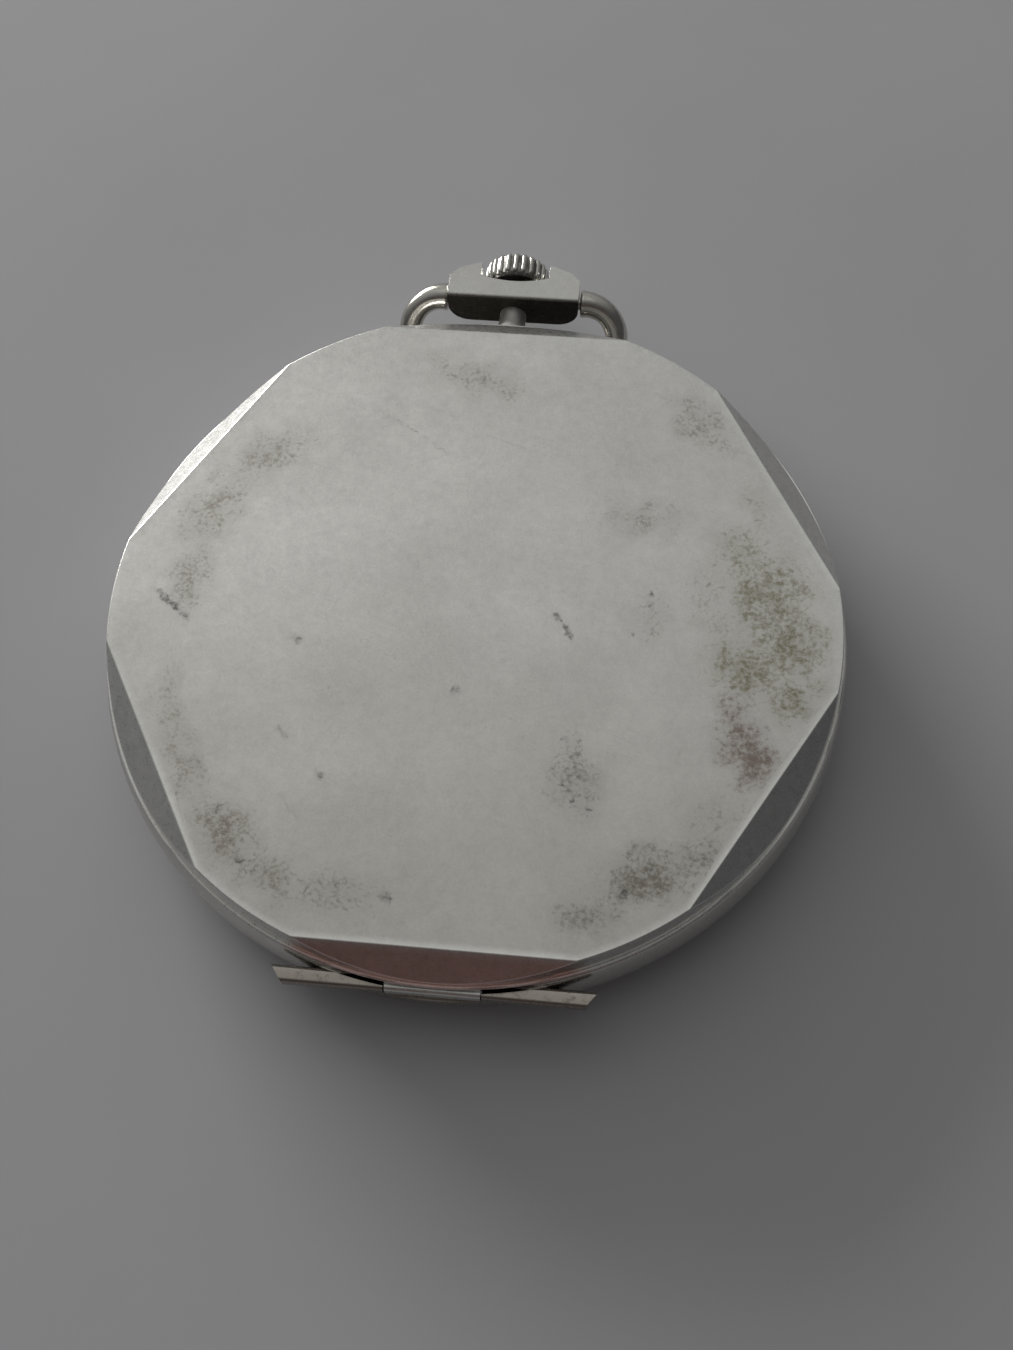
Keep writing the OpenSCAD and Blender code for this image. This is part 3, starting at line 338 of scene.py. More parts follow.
wear_mm = wire(
    silver_wear, "ShaderNodeVectorMath", (0, own_place(silver_wear)), ("Scale", 1000.0), operation="SCALE"
).outputs[0]
cloud = noise_at(silver_wear, wear_mm, 0.16, 5.0, 0.6)
mottle = noise_at(silver_wear, wear_mm, 1.9, 6.0, 0.72)
specks = noise_at(silver_wear, wear_mm, 3.4, 4.0, 0.7)
grain = noise_at(silver_wear, wear_mm, 7.0, 3.0, 0.6)
stain = wear_in.outputs["Stain"]
# four sets of hairlines, each laid another way and broken up
lines = None
for turn_deg, across, mask_scale in ((18, 3.1, 0.35), (67, 4.3, 0.5), (112, 3.6, 0.42), (158, 5.2, 0.6)):
    turned = wire(
        silver_wear, "ShaderNodeVectorRotate", ("Vector", wear_mm), ("Angle", math.radians(turn_deg)),
        rotation_type="Z_AXIS",
    ).outputs[0]
    laid = vector_maths(silver_wear, "MULTIPLY", turned, (0.035, across, 0.6))
    thread = noise_at(silver_wear, laid, 1.0, 1.0)
    off_line = maths(silver_wear, "ABSOLUTE", maths(silver_wear, "SUBTRACT", thread, 0.5))
    broken = eased(silver_wear, noise_at(silver_wear, wear_mm, mask_scale, 2.0), 0.5, 0.66)
    line = times(silver_wear, eased(silver_wear, off_line, 0.004, 0.016, 1.0, 0.0), broken)
    lines = line if lines is None else maths(silver_wear, "MAXIMUM", lines, line)
lines = times(silver_wear, lines, wear_in.outputs["Hairlines"])
# tarnish is a faint even tint of its patch with finer, darker specks in it
speckle = plus(silver_wear, swing(silver_wear, mottle, 2.3), swing(silver_wear, specks, 2.4))
speckle = plus(silver_wear, speckle, maths(silver_wear, "SUBTRACT", times(silver_wear, stain, 1.2), 0.55))
stained = times(silver_wear, eased(silver_wear, speckle, -0.1, 0.95), eased(silver_wear, stain, 0.0, 0.5))
tint = maths(
    silver_wear, "ADD", times(silver_wear, stain, 0.26), times(silver_wear, stained, 0.52), clamp=True
)
uneven = plus(silver_wear, swing(silver_wear, mottle, 0.42), swing(silver_wear, grain, 0.30))
uneven = plus(silver_wear, swing(silver_wear, cloud, 0.36), uneven)
cloud_tone = plus(silver_wear, 1.0, times(silver_wear, wear_in.outputs["Cloud"], uneven))
clean_tone = wire(
    silver_wear, "ShaderNodeVectorMath", (0, wear_in.outputs["Clean"]), ("Scale", cloud_tone),
    operation="SCALE",
).outputs[0]
worn_tone = blended(silver_wear, tint, clean_tone, wear_in.outputs["Tarnish"])
lined_tone = blended(silver_wear, times(silver_wear, lines, 0.2), worn_tone, (0.34, 0.33, 0.31, 1))
rougher = plus(silver_wear, swing(silver_wear, grain, 0.16), swing(silver_wear, mottle, 0.12))
rougher = plus(silver_wear, times(silver_wear, stained, 0.22), rougher)
worn_rough = maths(silver_wear, "ADD", wear_in.outputs["Polish"], rougher, clamp=True)
worn_height = maths(
    silver_wear, "SUBTRACT", times(silver_wear, grain, 0.25),
    plus(silver_wear, times(silver_wear, lines, 0.3), times(silver_wear, stained, 0.15)),
)
silver_wear.links.new(lined_tone, wear_out.inputs["Color"])
silver_wear.links.new(worn_rough, wear_out.inputs["Roughness"])
silver_wear.links.new(worn_height, wear_out.inputs["Height"])


def silver(name, clean, tarnish, stain, cloud, hairlines, polish, bump):
    """A silver finish: the shared wear with this piece's own colours and amounts."""
    material, tree, surface = new_material(name)
    wear = wire(
        tree, "ShaderNodeGroup", ("Clean", (*clean, 1)), ("Tarnish", (*tarnish, 1)), ("Stain", stain),
        ("Cloud", cloud), ("Hairlines", hairlines), ("Polish", polish), node_tree=silver_wear,
    )
    feed(
        tree, surface, Base_Color=wear.outputs["Color"], Roughness=wear.outputs["Roughness"], Metallic=1.0,
        Normal=dented(tree, wear.outputs["Height"], bump),
    )
    return material, tree, wear


back_silver, back_tree, back_wear = silver(
    "back_silver_worn_painted_shade", (0.66, 0.655, 0.63), (0.17, 0.145, 0.105), 0.0, cloud=0.85, hairlines=0.6,
    polish=0.36, bump=0.5,
)
# what the wear at each point of the back is: brown, olive and reddish tarnish, dark marks, the rubbed edge
tarnished = wire(back_tree, "ShaderNodeAttribute", attribute_name="tarnish")
rubbed = wire(back_tree, "ShaderNodeAttribute", attribute_name="rubbed").outputs["Fac"]
kinds = wire(back_tree, "ShaderNodeSeparateColor", (0, tarnished.outputs["Color"]))
dark = tarnished.outputs["Alpha"]
most = maths(back_tree, "MAXIMUM", kinds.outputs[0], kinds.outputs[1])
most = maths(back_tree, "MAXIMUM", most, kinds.outputs[2])
back_tree.links.new(maths(back_tree, "MAXIMUM", most, dark), back_wear.inputs["Stain"])
tarnish_tone = (0.175, 0.150, 0.118, 1)
for amount, low, high, tone in (
    (kinds.outputs[1], 0.1, 0.6, (0.19, 0.165, 0.075, 1)),
    (kinds.outputs[2], 0.1, 0.6, (0.19, 0.13, 0.10, 1)), (dark, 0.15, 0.7, (0.05, 0.042, 0.035, 1)),
):
    tarnish_tone = blended(back_tree, eased(back_tree, amount, low, high), tarnish_tone, tone)
back_tree.links.new(tarnish_tone, back_wear.inputs["Tarnish"])
back_tree.links.new(eased(back_tree, rubbed, 0.0, 1.0, 0.40, 0.30), back_wear.inputs["Polish"])
# painted shade: the lower half of the back is painted a little duller and darker towards the bottom; painted
# reflection: the bevel over the hinge is painted reddish
_, back_y, back_z = parted(back_tree, own_place(back_tree))
reddish = times(
    back_tree, eased(back_tree, back_y, -0.0219, -0.0213, 1.0, 0.0), eased(back_tree, back_z, 0.0058, 0.0061)
)
rubbed_edge_with_painted_reflection = blended(back_tree, reddish, (0.72, 0.715, 0.69, 1), (0.66, 0.50, 0.465, 1))
upper_half = eased(back_tree, back_y, -0.021, 0.006)
painted_shade_lower_half = blended(back_tree, upper_half, (0.545, 0.53, 0.50, 1), (0.69, 0.68, 0.655, 1))
back_base_with_painted_light = blended(back_tree, eased(back_tree, rubbed, 0.0, 1.0), painted_shade_lower_half, rubbed_edge_with_painted_reflection)
back_tree.links.new(back_base_with_painted_light, back_wear.inputs["Clean"])

# each mark is x, y, length, width, turn, amount, all in mm from the middle of the back
brown_marks = (
    (-14.6, 10.6, 3.6, 1.9, 35, 0.8), (-17.4, 6.6, 3.8, 1.9, 60, 0.85), (-18.3, 1.4, 3.2, 1.7, 80, 0.8),
    (-17.9, -7.4, 4.2, 1.3, -80, 0.6), (-16.3, -11.4, 3.6, 1.3, -62, 0.75),
    (-13.2, -15.6, 3.0, 2.0, -45, 0.86), (-10.2, -17.9, 2.8, 1.5, -30, 0.74),
    (-6.2, -18.6, 3.6, 1.8, -10, 0.6), (-1.4, 17.6, 4.4, 1.9, -12, 0.66), (5.0, 16.6, 3.4, 1.4, 10, 0.3),
    (13.6, 15.0, 3.0, 1.8, -42, 0.72), (10.2, 7.6, 3.2, 1.5, 5, 0.62), (11.2, 0.9, 1.7, 2.6, 0, 0.5),
    (14.4, 3.0, 2.2, 2.6, 0, 0.5), (7.4, -10.4, 2.1, 2.9, 25, 0.72), (11.8, -16.4, 3.1, 2.0, 22, 0.92),
    (14.6, -15.0, 2.4, 1.6, 40, 0.74), (8.8, -18.7, 2.2, 1.3, 5, 0.78), (15.6, -12.2, 3.2, 2.2, 50, 0.5),
    (-6.2, -14.4, 5.0, 2.6, 0, 0.3), (1.5, -15.0, 5.0, 2.6, 0, 0.25),
)
olive_marks = (
    (18.4, 2.6, 3.6, 3.0, 70, 0.86), (19.8, -0.6, 2.7, 2.4, 60, 1.0), (16.4, 5.4, 2.8, 2.2, 100, 0.72),
    (17.6, 8.6, 3.2, 1.3, 112, 0.52), (17.2, -2.6, 2.6, 2.8, 40, 0.86), (19.9, -4.2, 2.2, 1.9, 30, 0.82),
    (15.4, 0.4, 2.4, 2.0, 0, 0.5),
)
red_marks = (
    (17.4, -8.0, 1.9, 2.7, 20, 1.0), (16.4, -5.6, 1.6, 1.9, 0, 0.72), (17.9, -10.3, 1.4, 1.2, 0, 0.6),
)
dark_marks = (
    (-19.1, -0.75, 2.0, 0.36, -38, 0.95), (-18.1, -1.5, 0.9, 0.32, -40, 0.9),
    (-0.5, -5.3, 0.6, 0.56, 20, 0.75), (-10.8, -2.6, 0.8, 0.42, -15, 0.7), (5.3, 0.2, 0.5, 0.28, -50, 1.0),
    (5.9, -0.5, 0.55, 0.28, -38, 1.0), (6.2, -1.1, 0.35, 0.25, -60, 0.9), (11.0, 2.2, 0.26, 0.5, 5, 0.8),
    (11.1, 1.3, 0.28, 0.4, 0, 0.8), (11.2, -0.4, 0.24, 0.6, -8, 0.7), (10.1, -0.6, 0.4, 0.24, 0, 0.7),
    (6.4, -8.0, 0.6, 0.4, 5, 0.7), (7.3, -8.1, 0.45, 0.42, 0, 0.7), (6.4, -10.8, 0.4, 0.32, 30, 0.9),
    (7.2, -11.8, 0.44, 0.3, -30, 0.95), (8.2, -12.3, 0.5, 0.3, -35, 1.0),
    (-3.1, -18.7, 0.8, 0.5, -20, 0.75), (-7.7, -18.6, 0.4, 0.34, 0, 0.7), (22.0, -0.7, 0.5, 0.3, 20, 0.7),
    (-10.7, -8.9, 0.8, 0.26, -50, 0.8), (-7.9, -11.6, 0.7, 0.26, -45, 0.8),
    (-9.4, -13.8, 1.9, 0.24, -48, 0.5), (-6.0, 13.6, 2.9, 0.24, -30, 0.5),
    (-3.4, 12.0, 1.6, 0.24, -32, 0.4), (2.4, -3.0, 0.9, 0.24, 40, 0.4), (13.3, -8.4, 0.9, 0.24, 75, 0.5),
    (-13.9, -14.2, 0.5, 0.4, 0, 0.85), (-11.9, -17.3, 0.6, 0.34, -30, 0.85),
    (10.6, -17.2, 0.5, 0.4, 0, 0.85), (12.2, -15.8, 0.4, 0.4, 0, 0.85),
)


def gathered(x, y, marks, edge=1.0, spread=1.75):
    """The strongest of some soft oval marks at each point."""
    total = np.zeros_like(x)
    for mark_x, mark_y, long, wide, turn_deg, amount in marks:
        c, s = math.cos(math.radians(turn_deg)), math.sin(math.radians(turn_deg))
        along, aside = (x - mark_x) * c + (y - mark_y) * s, (y - mark_y) * c - (x - mark_x) * s
        far = np.sqrt((along / long) ** 2 + (aside / wide) ** 2) / spread
        share = np.clip((1.0 - far) / edge, 0, 1)
        total = np.maximum(total, amount * share * share * (3 - 2 * share))
    return total


def write_wear(mesh):
    """Puts the marks and the rubbed edge on the back's mesh, point by point."""
    count = len(mesh.vertices)
    place = np.zeros(count * 3, np.float32)
    mesh.vertices.foreach_get("co", place)
    x, y, z = place.reshape(-1, 3).T / mm

    def ragged(scale, reach, depth):
        """The points pushed about by a noise, so that a mark's edge isn't an oval."""
        push = np.array([
            [noise.noise((px * scale, py * scale, d)) for d in (depth, depth + 6.0)] for px, py in zip(x, y)
        ])
        return x + reach * push[:, 0], y + reach * push[:, 1]

    rough_points, fine_points = ragged(0.8, 1.1, 3.0), ragged(2.6, 0.3, 13.0)
    to_side = np.maximum(np.abs(y), np.abs(x) * 0.8660 + np.abs(y) * 0.5)
    to_corner = np.sqrt(x * x + y * y)
    rub = 0.55
    edge = np.maximum(
        np.clip((to_side - table_apothem + rub) / rub, 0, 1), np.clip((to_corner - table_r + rub) / rub, 0, 1)
    )
    on_top = (z > cover_top - 0.2) * (1 - 0.85 * edge)
    # a thin film of tarnish comes and goes all over the table
    film = np.array([
        0.30 * max(0.0, 0.45 + noise.noise((px * 0.11, py * 0.11, 31.0))
                   + 0.5 * noise.noise((px * 0.4, py * 0.4, 37.0)))
        for px, py in zip(x, y)
    ])
    tones = np.stack([
        np.maximum(gathered(*rough_points, brown_marks), film) * on_top,
        gathered(*rough_points, olive_marks) * on_top, gathered(*rough_points, red_marks) * on_top,
        gathered(*fine_points, dark_marks, 0.8, 1.2) * on_top,
    ], axis=1)
    layer = mesh.attributes.new("tarnish", "FLOAT_COLOR", "POINT")
    layer.data.foreach_set("color", tones.astype(np.float32).ravel())
    layer = mesh.attributes.new("rubbed", "FLOAT", "POINT")
    layer.data.foreach_set("value", edge.astype(np.float32))


def pressed(bm, low_profile, top_r, top_z, apothem, steps):
    """A round wall whose top is cut by six sloping planes, open at the bottom; its flat top is one face."""
    before = set(bm.faces)
    spun(bm, low_profile + [(top_r, top_z)], steps, closed=False)
    rim = [e for e in bm.edges if e.is_boundary and all(abs(v.co.z - top_z * mm) < 1e-8 for v in e.verts)]
    bmesh.ops.contextual_create(bm, geom=rim)
    for k in range(6):
        turn = math.radians(30 + 60 * k)
        out = Vector((math.cos(turn), math.sin(turn), 0))
        lean = out * math.sin(bevel_fall) + Vector((0, 0, math.cos(bevel_fall)))
        foot = (out * apothem + Vector((0, 0, top_z))) * mm
        mine = [f for f in bm.faces if f not in before]
        mine_all = list({v for f in mine for v in f.verts}) + list({e for f in mine for e in f.edges}) + mine
        cut = bmesh.ops.bisect_plane(
            bm, geom=mine_all, plane_co=foot, plane_no=lean, clear_outer=True, dist=1e-8
        )
        new_edges = [g for g in cut["geom_cut"] if isinstance(g, bmesh.types.BMEdge)]
        bmesh.ops.contextual_create(bm, geom=new_edges)


cover_steps = 300
bead = 0.13
outer = bmesh.new()
lip_profile = [(22.7, lip_floor)]
lip_profile += [
    (lip_edge - bead + bead * math.cos(a), lip_floor + bead + bead * math.sin(a))
    for a in (math.radians(d) for d in (-90, -60, -30, 0, 30, 60, 90, 120))
]
lip_profile.append((23.12, lip_floor + 0.30))
pressed(outer, lip_profile, table_r, cover_top, table_apothem, cover_steps)
bmesh.ops.recalc_face_normals(outer, faces=outer.faces)
worn_edges = [
    e for e in outer.edges
    if len(e.link_faces) == 2 and e.calc_face_angle() > math.radians(25)
    and min(v.co.z for v in e.verts) > (lip_floor + 0.31) * mm
]
bmesh.ops.bevel(
    outer, geom=worn_edges, offset=0.24 * mm, segments=5, profile=0.5, affect="EDGES", clamp_overlap=True
)
inner = bmesh.new()
inner_apothem = table_apothem - sheet_t * math.sin(bevel_fall)
inner_top = cover_top - sheet_t
# the six inner faces lie one sheet's thickness under the outer ones
inner_apothem += (inner_top - (cover_top - sheet_t * math.cos(bevel_fall))) / -math.tan(bevel_fall)
inner_profile = [(22.36, lip_floor), (22.42, lip_floor + 0.55)]
pressed(inner, inner_profile, table_r - sheet_t, inner_top, inner_apothem, cover_steps)
bmesh.ops.recalc_face_normals(inner, faces=inner.faces)
bmesh.ops.reverse_faces(inner, faces=inner.faces)
inner_mesh = bpy.data.meshes.new("inner side")
inner.to_mesh(inner_mesh)
inner.free()
outer.from_mesh(inner_mesh)
bpy.data.meshes.remove(inner_mesh)
mouth = [
    e for e in outer.edges if e.is_boundary and all(abs(v.co.z - lip_floor * mm) < 1e-7 for v in e.verts)
]
bmesh.ops.bridge_loops(outer, edges=mouth)


def bar_piece(bm, x_low, x_high, slant_low=0.0, slant_high=0.0, rounding=0.3):
    """A hinge knuckle: a bar along X with rounded corners, whose ends may slant towards the outside."""
    axis_y, axis_z, half = -23.05, 4.95, 0.5
    corners = ((-half, -half), (half, -half), (half, half), (-half, half))
    section = softened([(*corner, rounding) for corner in corners], 5)
    rings = []
    for x, slant, sign in ((x_low, slant_low, 1), (x_high, slant_high, -1)):
        rings.append([
            bm.verts.new(Vector((x + sign * slant * (0.5 - y / (2 * half)), axis_y + y, axis_z + z)) * mm)
            for y, z in section
        ])
    count = len(section)
    for k in range(count):
        bm.faces.new((rings[0][k], rings[0][(k + 1) % count], rings[1][(k + 1) % count], rings[1][k]))
    bm.faces.new(rings[0][::-1])
    bm.faces.new(rings[1])


knuckle = 2.8
bar_piece(outer, -knuckle, knuckle)
leaf = bmesh.ops.create_cube(outer, size=1)["verts"]
bmesh.ops.scale(outer, vec=Vector((2 * knuckle, 0.5, 0.95)) * mm, verts=leaf)
bmesh.ops.translate(outer, vec=Vector((0, -22.85, 5.45)) * mm, verts=leaf)
# the flat table is a fine net of triangles, so that it can carry the marks
table_face = max((f for f in outer.faces if f.normal.z > 0.99), key=lambda f: f.calc_area())
rim_verts = list(table_face.verts)
outer.faces.remove(table_face)
net, net_gap = 0.23, 0.35
points = [Vector((v.co.x / mm, v.co.y / mm)) for v in rim_verts]
for row in range(-115, 116):
    for k in range(-100, 101):
        px, py = (k + 0.5 * (row % 2)) * net, row * net * 0.866
        to_side = max(abs(py), abs(px) * 0.866 + abs(py) * 0.5)
        if to_side < table_apothem - net_gap and math.hypot(px, py) < table_r - net_gap:
            points.append(Vector((px, py)))
ring = list(range(len(rim_verts)))
flat_points, _, flat_faces, origins, _, _ = geometry.delaunay_2d_cdt(
    points, list(zip(ring, ring[1:] + ring[:1])), [], 1, 1e-6
)
net_verts = []
for point, source in zip(flat_points, origins):
    on_rim = [s for s in source if s < len(rim_verts)]
    if on_rim:
        net_verts.append(rim_verts[on_rim[0]])
    else:
        net_verts.append(outer.verts.new((point.x * mm, point.y * mm, cover_top * mm)))
for corners in flat_faces:
    outer.faces.new([net_verts[c] for c in corners])
back_shell = as_piece(
    "back_shell", outer, back_silver, "back", ["back_cover"], smooth_angle=30
)
write_wear(back_shell.data)

# ---------------------------------------------------------------------------------------------------------
# Middle case: a turned silver ring with a bulging band, a neck that the back snaps over and an inner ledge
# for the movement. Two hinge knuckles with slanted ends are soldered to it at 6 o'clock.
# ---------------------------------------------------------------------------------------------------------
case_silver, case_tree, case_wear = silver(
    "case_silver_worn_painted_shade", (0.64, 0.63, 0.60), (0.13, 0.11, 0.085), 0.2, cloud=0.5, hairlines=0.5,
    polish=0.24, bump=0.35,
)
# the hinge side is painted darker and browner: dirt round the knuckles, and painted shade under the lip of
# the back
case_y = parted(case_tree, own_place(case_tree))[1]
case_tree.links.new(eased(case_tree, case_y, -0.0233, -0.0212, 0.45, 0.2), case_wear.inputs["Stain"])
off_hinge = eased(case_tree, case_y, -0.0232, -0.0218)
case_base_dirt_and_painted_shade = blended(case_tree, off_hinge, (0.36, 0.325, 0.29, 1), (0.64, 0.63, 0.60, 1))
case_tree.links.new(case_base_dirt_and_painted_shade, case_wear.inputs["Clean"])


def solid_box(bm, low, high):
    """A box between two corners, in mm."""
    made = bmesh.ops.create_cube(bm, size=1)["verts"]
    size = [b - a for a, b in zip(low, high)]
    bmesh.ops.scale(bm, vec=Vector(size) * mm, verts=made)
    bmesh.ops.translate(bm, vec=Vector([(a + b) / 2 for a, b in zip(low, high)]) * mm, verts=made)


stem_height = 4.2
stem_hole_r = 0.49
# turns a piece drawn upright round Z to lie along +Y at the winding stem's height
lay_along = Matrix.Translation((0, 0, stem_height * mm)) @ Matrix.Rotation(math.radians(-90), 4, "X")


def stem_bore(bm, y_low, y_high):
    """The hole for the winding stem, as a round bar."""
    bore = [(0, y_low), (stem_hole_r, y_low), (stem_hole_r, y_high), (0, y_high)]
    spun(bm, bore, 48, lay_along, closed=False)


def blank(bm, name="blank"):
    """Closes a half-made solid into an object that another can be cut or joined with."""
    bmesh.ops.remove_doubles(bm, verts=bm.verts, dist=1e-7)
    bmesh.ops.recalc_face_normals(bm, faces=bm.faces)
    mesh = bpy.data.meshes.new(name)
    bm.to_mesh(mesh)
    bm.free()
    made = bpy.data.objects.new(name, mesh)
    scene.collection.objects.link(made)
    return made


def worked(first, *steps):
    """Cuts (DIFFERENCE), joins (UNION) or trims (INTERSECT) a solid with others, and gives back its bmesh."""
    for operation, other in steps:
        cut = first.modifiers.new("work", "BOOLEAN")
        cut.operation = operation
        cut.solver = "EXACT"
        cut.object = other
    made = bpy.data.meshes.new_from_object(first.evaluated_get(bpy.context.evaluated_depsgraph_get()))
    bm = bmesh.new()
    bm.from_mesh(made)
    bpy.data.meshes.remove(made)
    for used in [first] + [other for _, other in steps]:
        bpy.data.objects.remove(used)
    return bm


band_low, band_high, band_edge = 2.15, 5.80, 23.7
band_middle = (band_low + band_high + 0.05) / 2
bulge = 4.8
swell = []
for k in range(13):
    height = band_low + (band_high - band_low) * k / 12
    swell.append((band_edge - bulge + math.sqrt(bulge ** 2 - (height - band_middle) ** 2), height))
ring = bmesh.new()
inner_steps = softened([
    (22.3, band_high, 0), (22.3, 6.35, 0.12), (21.0, 6.35, 0.08), (21.0, 4.85, 0), (19.3, 4.85, 0.06),
    (19.3, 2.3, 0), (20.1, 2.3, 0), (20.1, 1.9, 0), (20.9, 1.9, 0), (20.9, band_low, 0),
], 3)
worn_swell = [(swell[0][0] - 0.10, band_low), (swell[0][0] - 0.03, band_low + 0.05)] + swell[1:-1]
worn_swell += [(swell[-1][0] - 0.03, band_high - 0.05), (swell[-1][0] - 0.10, band_high)]
spun(ring, worn_swell + inner_steps, 240)
swing_room, knuckle_room, stem_hole = bmesh.new(), bmesh.new(), bmesh.new()
knuckle_gap = 2.88
hinge_end, hinge_slant = 9.6, 0.75
solid_box(swing_room, (-10.6, -24.7, 5.45), (10.6, -22.5, 8.4))
solid_box(knuckle_room, (-knuckle_gap, -24.7, 4.35), (knuckle_gap, -22.5, 8.4))
stem_bore(stem_hole, 18, 25)
ring_bm = worked(
    blank(ring), ("DIFFERENCE", blank(swing_room)), ("DIFFERENCE", blank(knuckle_room)),
    ("DIFFERENCE", blank(stem_hole)),
)
bar_piece(ring_bm, -hinge_end, -knuckle_gap, slant_low=hinge_slant, rounding=0.24)
bar_piece(ring_bm, knuckle_gap, hinge_end, slant_high=hinge_slant, rounding=0.24)
as_piece("middle_case", ring_bm, case_silver, "case", ["mid_case"], smooth_angle=32)

# ---------------------------------------------------------------------------------------------------------
# Bezel and crystal: a turned silver ring that snaps onto the front of the case and holds a flat crystal with
# a polished bevel. The watch rests on the crystal.
# ---------------------------------------------------------------------------------------------------------
bezel_bm = bmesh.new()
spun(bezel_bm, softened([
    (19.6, 0.92, 0.05), (20.52, 0.92, 0), (20.52, 0.40, 0.06), (21.35, 0.40, 0.25), (22.9, 1.45, 1.2),
    (23.33, 2.0, 0.1), (23.25, 2.12, 0), (20.93, 2.12, 0), (20.93, 1.86, 0), (19.6, 1.86, 0.05),
], 6), 240)
as_piece("bezel_ring", bezel_bm, case_silver, "case", ["bezel"])


def clear_glass(name):
    material, tree, surface = new_material(name)
    place = own_place(tree)
    smear = noise_at(tree, place, 220.0, 4.0, 0.6)
    dust = noise_at(tree, place, 2500.0, 2.0)
    feed(
        tree, surface, Base_Color=(0.985, 0.995, 0.99, 1), Metallic=0.0, IOR=1.5, Transmission_Weight=1.0,
        Roughness=eased(tree, smear, 0.42, 0.7, 0.0, 0.035), Normal=dented(tree, dust, 0.02),
    )
    return material


crystal_glass = clear_glass("crystal_glass_clear")
crystal_bm = bmesh.new()
spun(crystal_bm, softened([
    (0, 0), (6, 0), (13, 0), (19.7, 0.0, 0.15), (20.5, 0.38, 0.1), (20.5, 0.9, 0.04), (13, 0.9), (6, 0.9),
    (0, 0.9),
]), 180, closed=False)
as_piece("crystal_pane", crystal_bm, crystal_glass, "case", ["crystal"], smooth_angle=20)

# ---------------------------------------------------------------------------------------------------------
# Inner cover: a bright turned ring with a thin flat glass, snapped into the neck over the movement.
# It shows when the back is open.
# ---------------------------------------------------------------------------------------------------------
cover_silver, _, _ = silver(
    "inner_cover_bright", (0.74, 0.73, 0.70), (0.3, 0.27, 0.2), 0.12, cloud=0.3, hairlines=0.35,
    polish=0.18, bump=0.25,
)
inner_bm = bmesh.new()
spun(inner_bm, softened([
    (19.05, 6.1, 0), (20.96, 6.1, 0), (20.96, 6.35, 0), (21.25, 6.35, 0.06), (21.25, 6.85, 0.2),
    (19.6, 6.85, 0.12), (19.6, 6.55, 0), (19.05, 6.55, 0),
], 5), 240)
as_piece("inner_cover_ring", inner_bm, cover_silver, "case", ["inner_cover"])
inner_pane = clear_glass("inner_glass_clear")


def repaint(material, *nodes):
    """Gives the parts a finish of their own, and leaves their shape as it is."""
    for node in nodes:
        for place in parts[node].material_slots:
            place.link = "OBJECT"
            place.material = material


repaint(inner_pane, "inner_glass")

# ---------------------------------------------------------------------------------------------------------
# Pendant: a turned neck soldered into the band, and a wide bar across it with an arched outer edge, cut
# corners and a shallow pocket in which the crown sits.
# ---------------------------------------------------------------------------------------------------------
bar_half, bar_near, bar_far = 4.6, 25.6, 29.0
bar_low, bar_high = 3.4, 6.0
neck_bm = bmesh.new()
neck_r = 0.93
neck_profile = [(stem_hole_r, 22.9), (1.5, 22.9), (1.5, 23.55)]
for k in range(9):
    run = k / 8
    neck_profile.append((neck_r + 0.50 * (1 - run) ** 2.2, 23.62 + run * 1.5))
neck_profile += [(neck_r, bar_near), (stem_hole_r, bar_near)]
spun(neck_bm, neck_profile, 64, lay_along)
neck_silver, _, _ = silver(
    "neck_silver_satin", (0.80, 0.79, 0.76), (0.2, 0.17, 0.13), 0.08, cloud=0.4, hairlines=0.2,
    polish=0.52, bump=0.3,
)
as_piece("pendant_stem_neck", neck_bm, neck_silver, "case", ["pendant_neck"])


def prism(bm, outline, low, high, place=None):
    """A straight solid on an outline of (x, y) points in mm, between two heights."""
    place = place or Matrix.Identity(4)
    rings = [[bm.verts.new(place @ (Vector((x, y, z)) * mm)) for x, y in outline] for z in (low, high)]
    count = len(outline)
    for k in range(count):
        bm.faces.new((rings[0][k], rings[0][(k + 1) % count], rings[1][(k + 1) % count], rings[1][k]))
    bm.faces.new(rings[0][::-1])
    bm.faces.new(rings[1])


arch_r = 9.4
arch = []
for k in range(25):
    x = (bar_half - 0.6) * (1 - 2 * k / 24)
    arch.append((x, bar_far - arch_r + math.sqrt(arch_r ** 2 - x * x)))
plan, front, pocket = bmesh.new(), bmesh.new(), bmesh.new()
side_end = 27.45
bar_plan = [(-bar_half, bar_near), (bar_half, bar_near), (bar_half, side_end), *arch, (-bar_half, side_end)]
prism(plan, bar_plan, bar_low, bar_high)
under = 1.5
quarter = [math.radians(7.5 * k) for k in range(13)]
rounded_under = [(-bar_half, -1.0), (bar_half, -1.0)]
rounded_under += [(bar_half - under + under * math.cos(a), 1.1 + under * math.sin(a)) for a in quarter]
rounded_under += [(-bar_half + under - under * math.sin(a), 1.1 + under * math.cos(a)) for a in quarter]
lay_front = Matrix.Translation((0, 0, bar_high * mm)) @ Matrix.Rotation(math.radians(-90), 4, "X")
prism(front, rounded_under, bar_near - 1, bar_far + 1, lay_front)
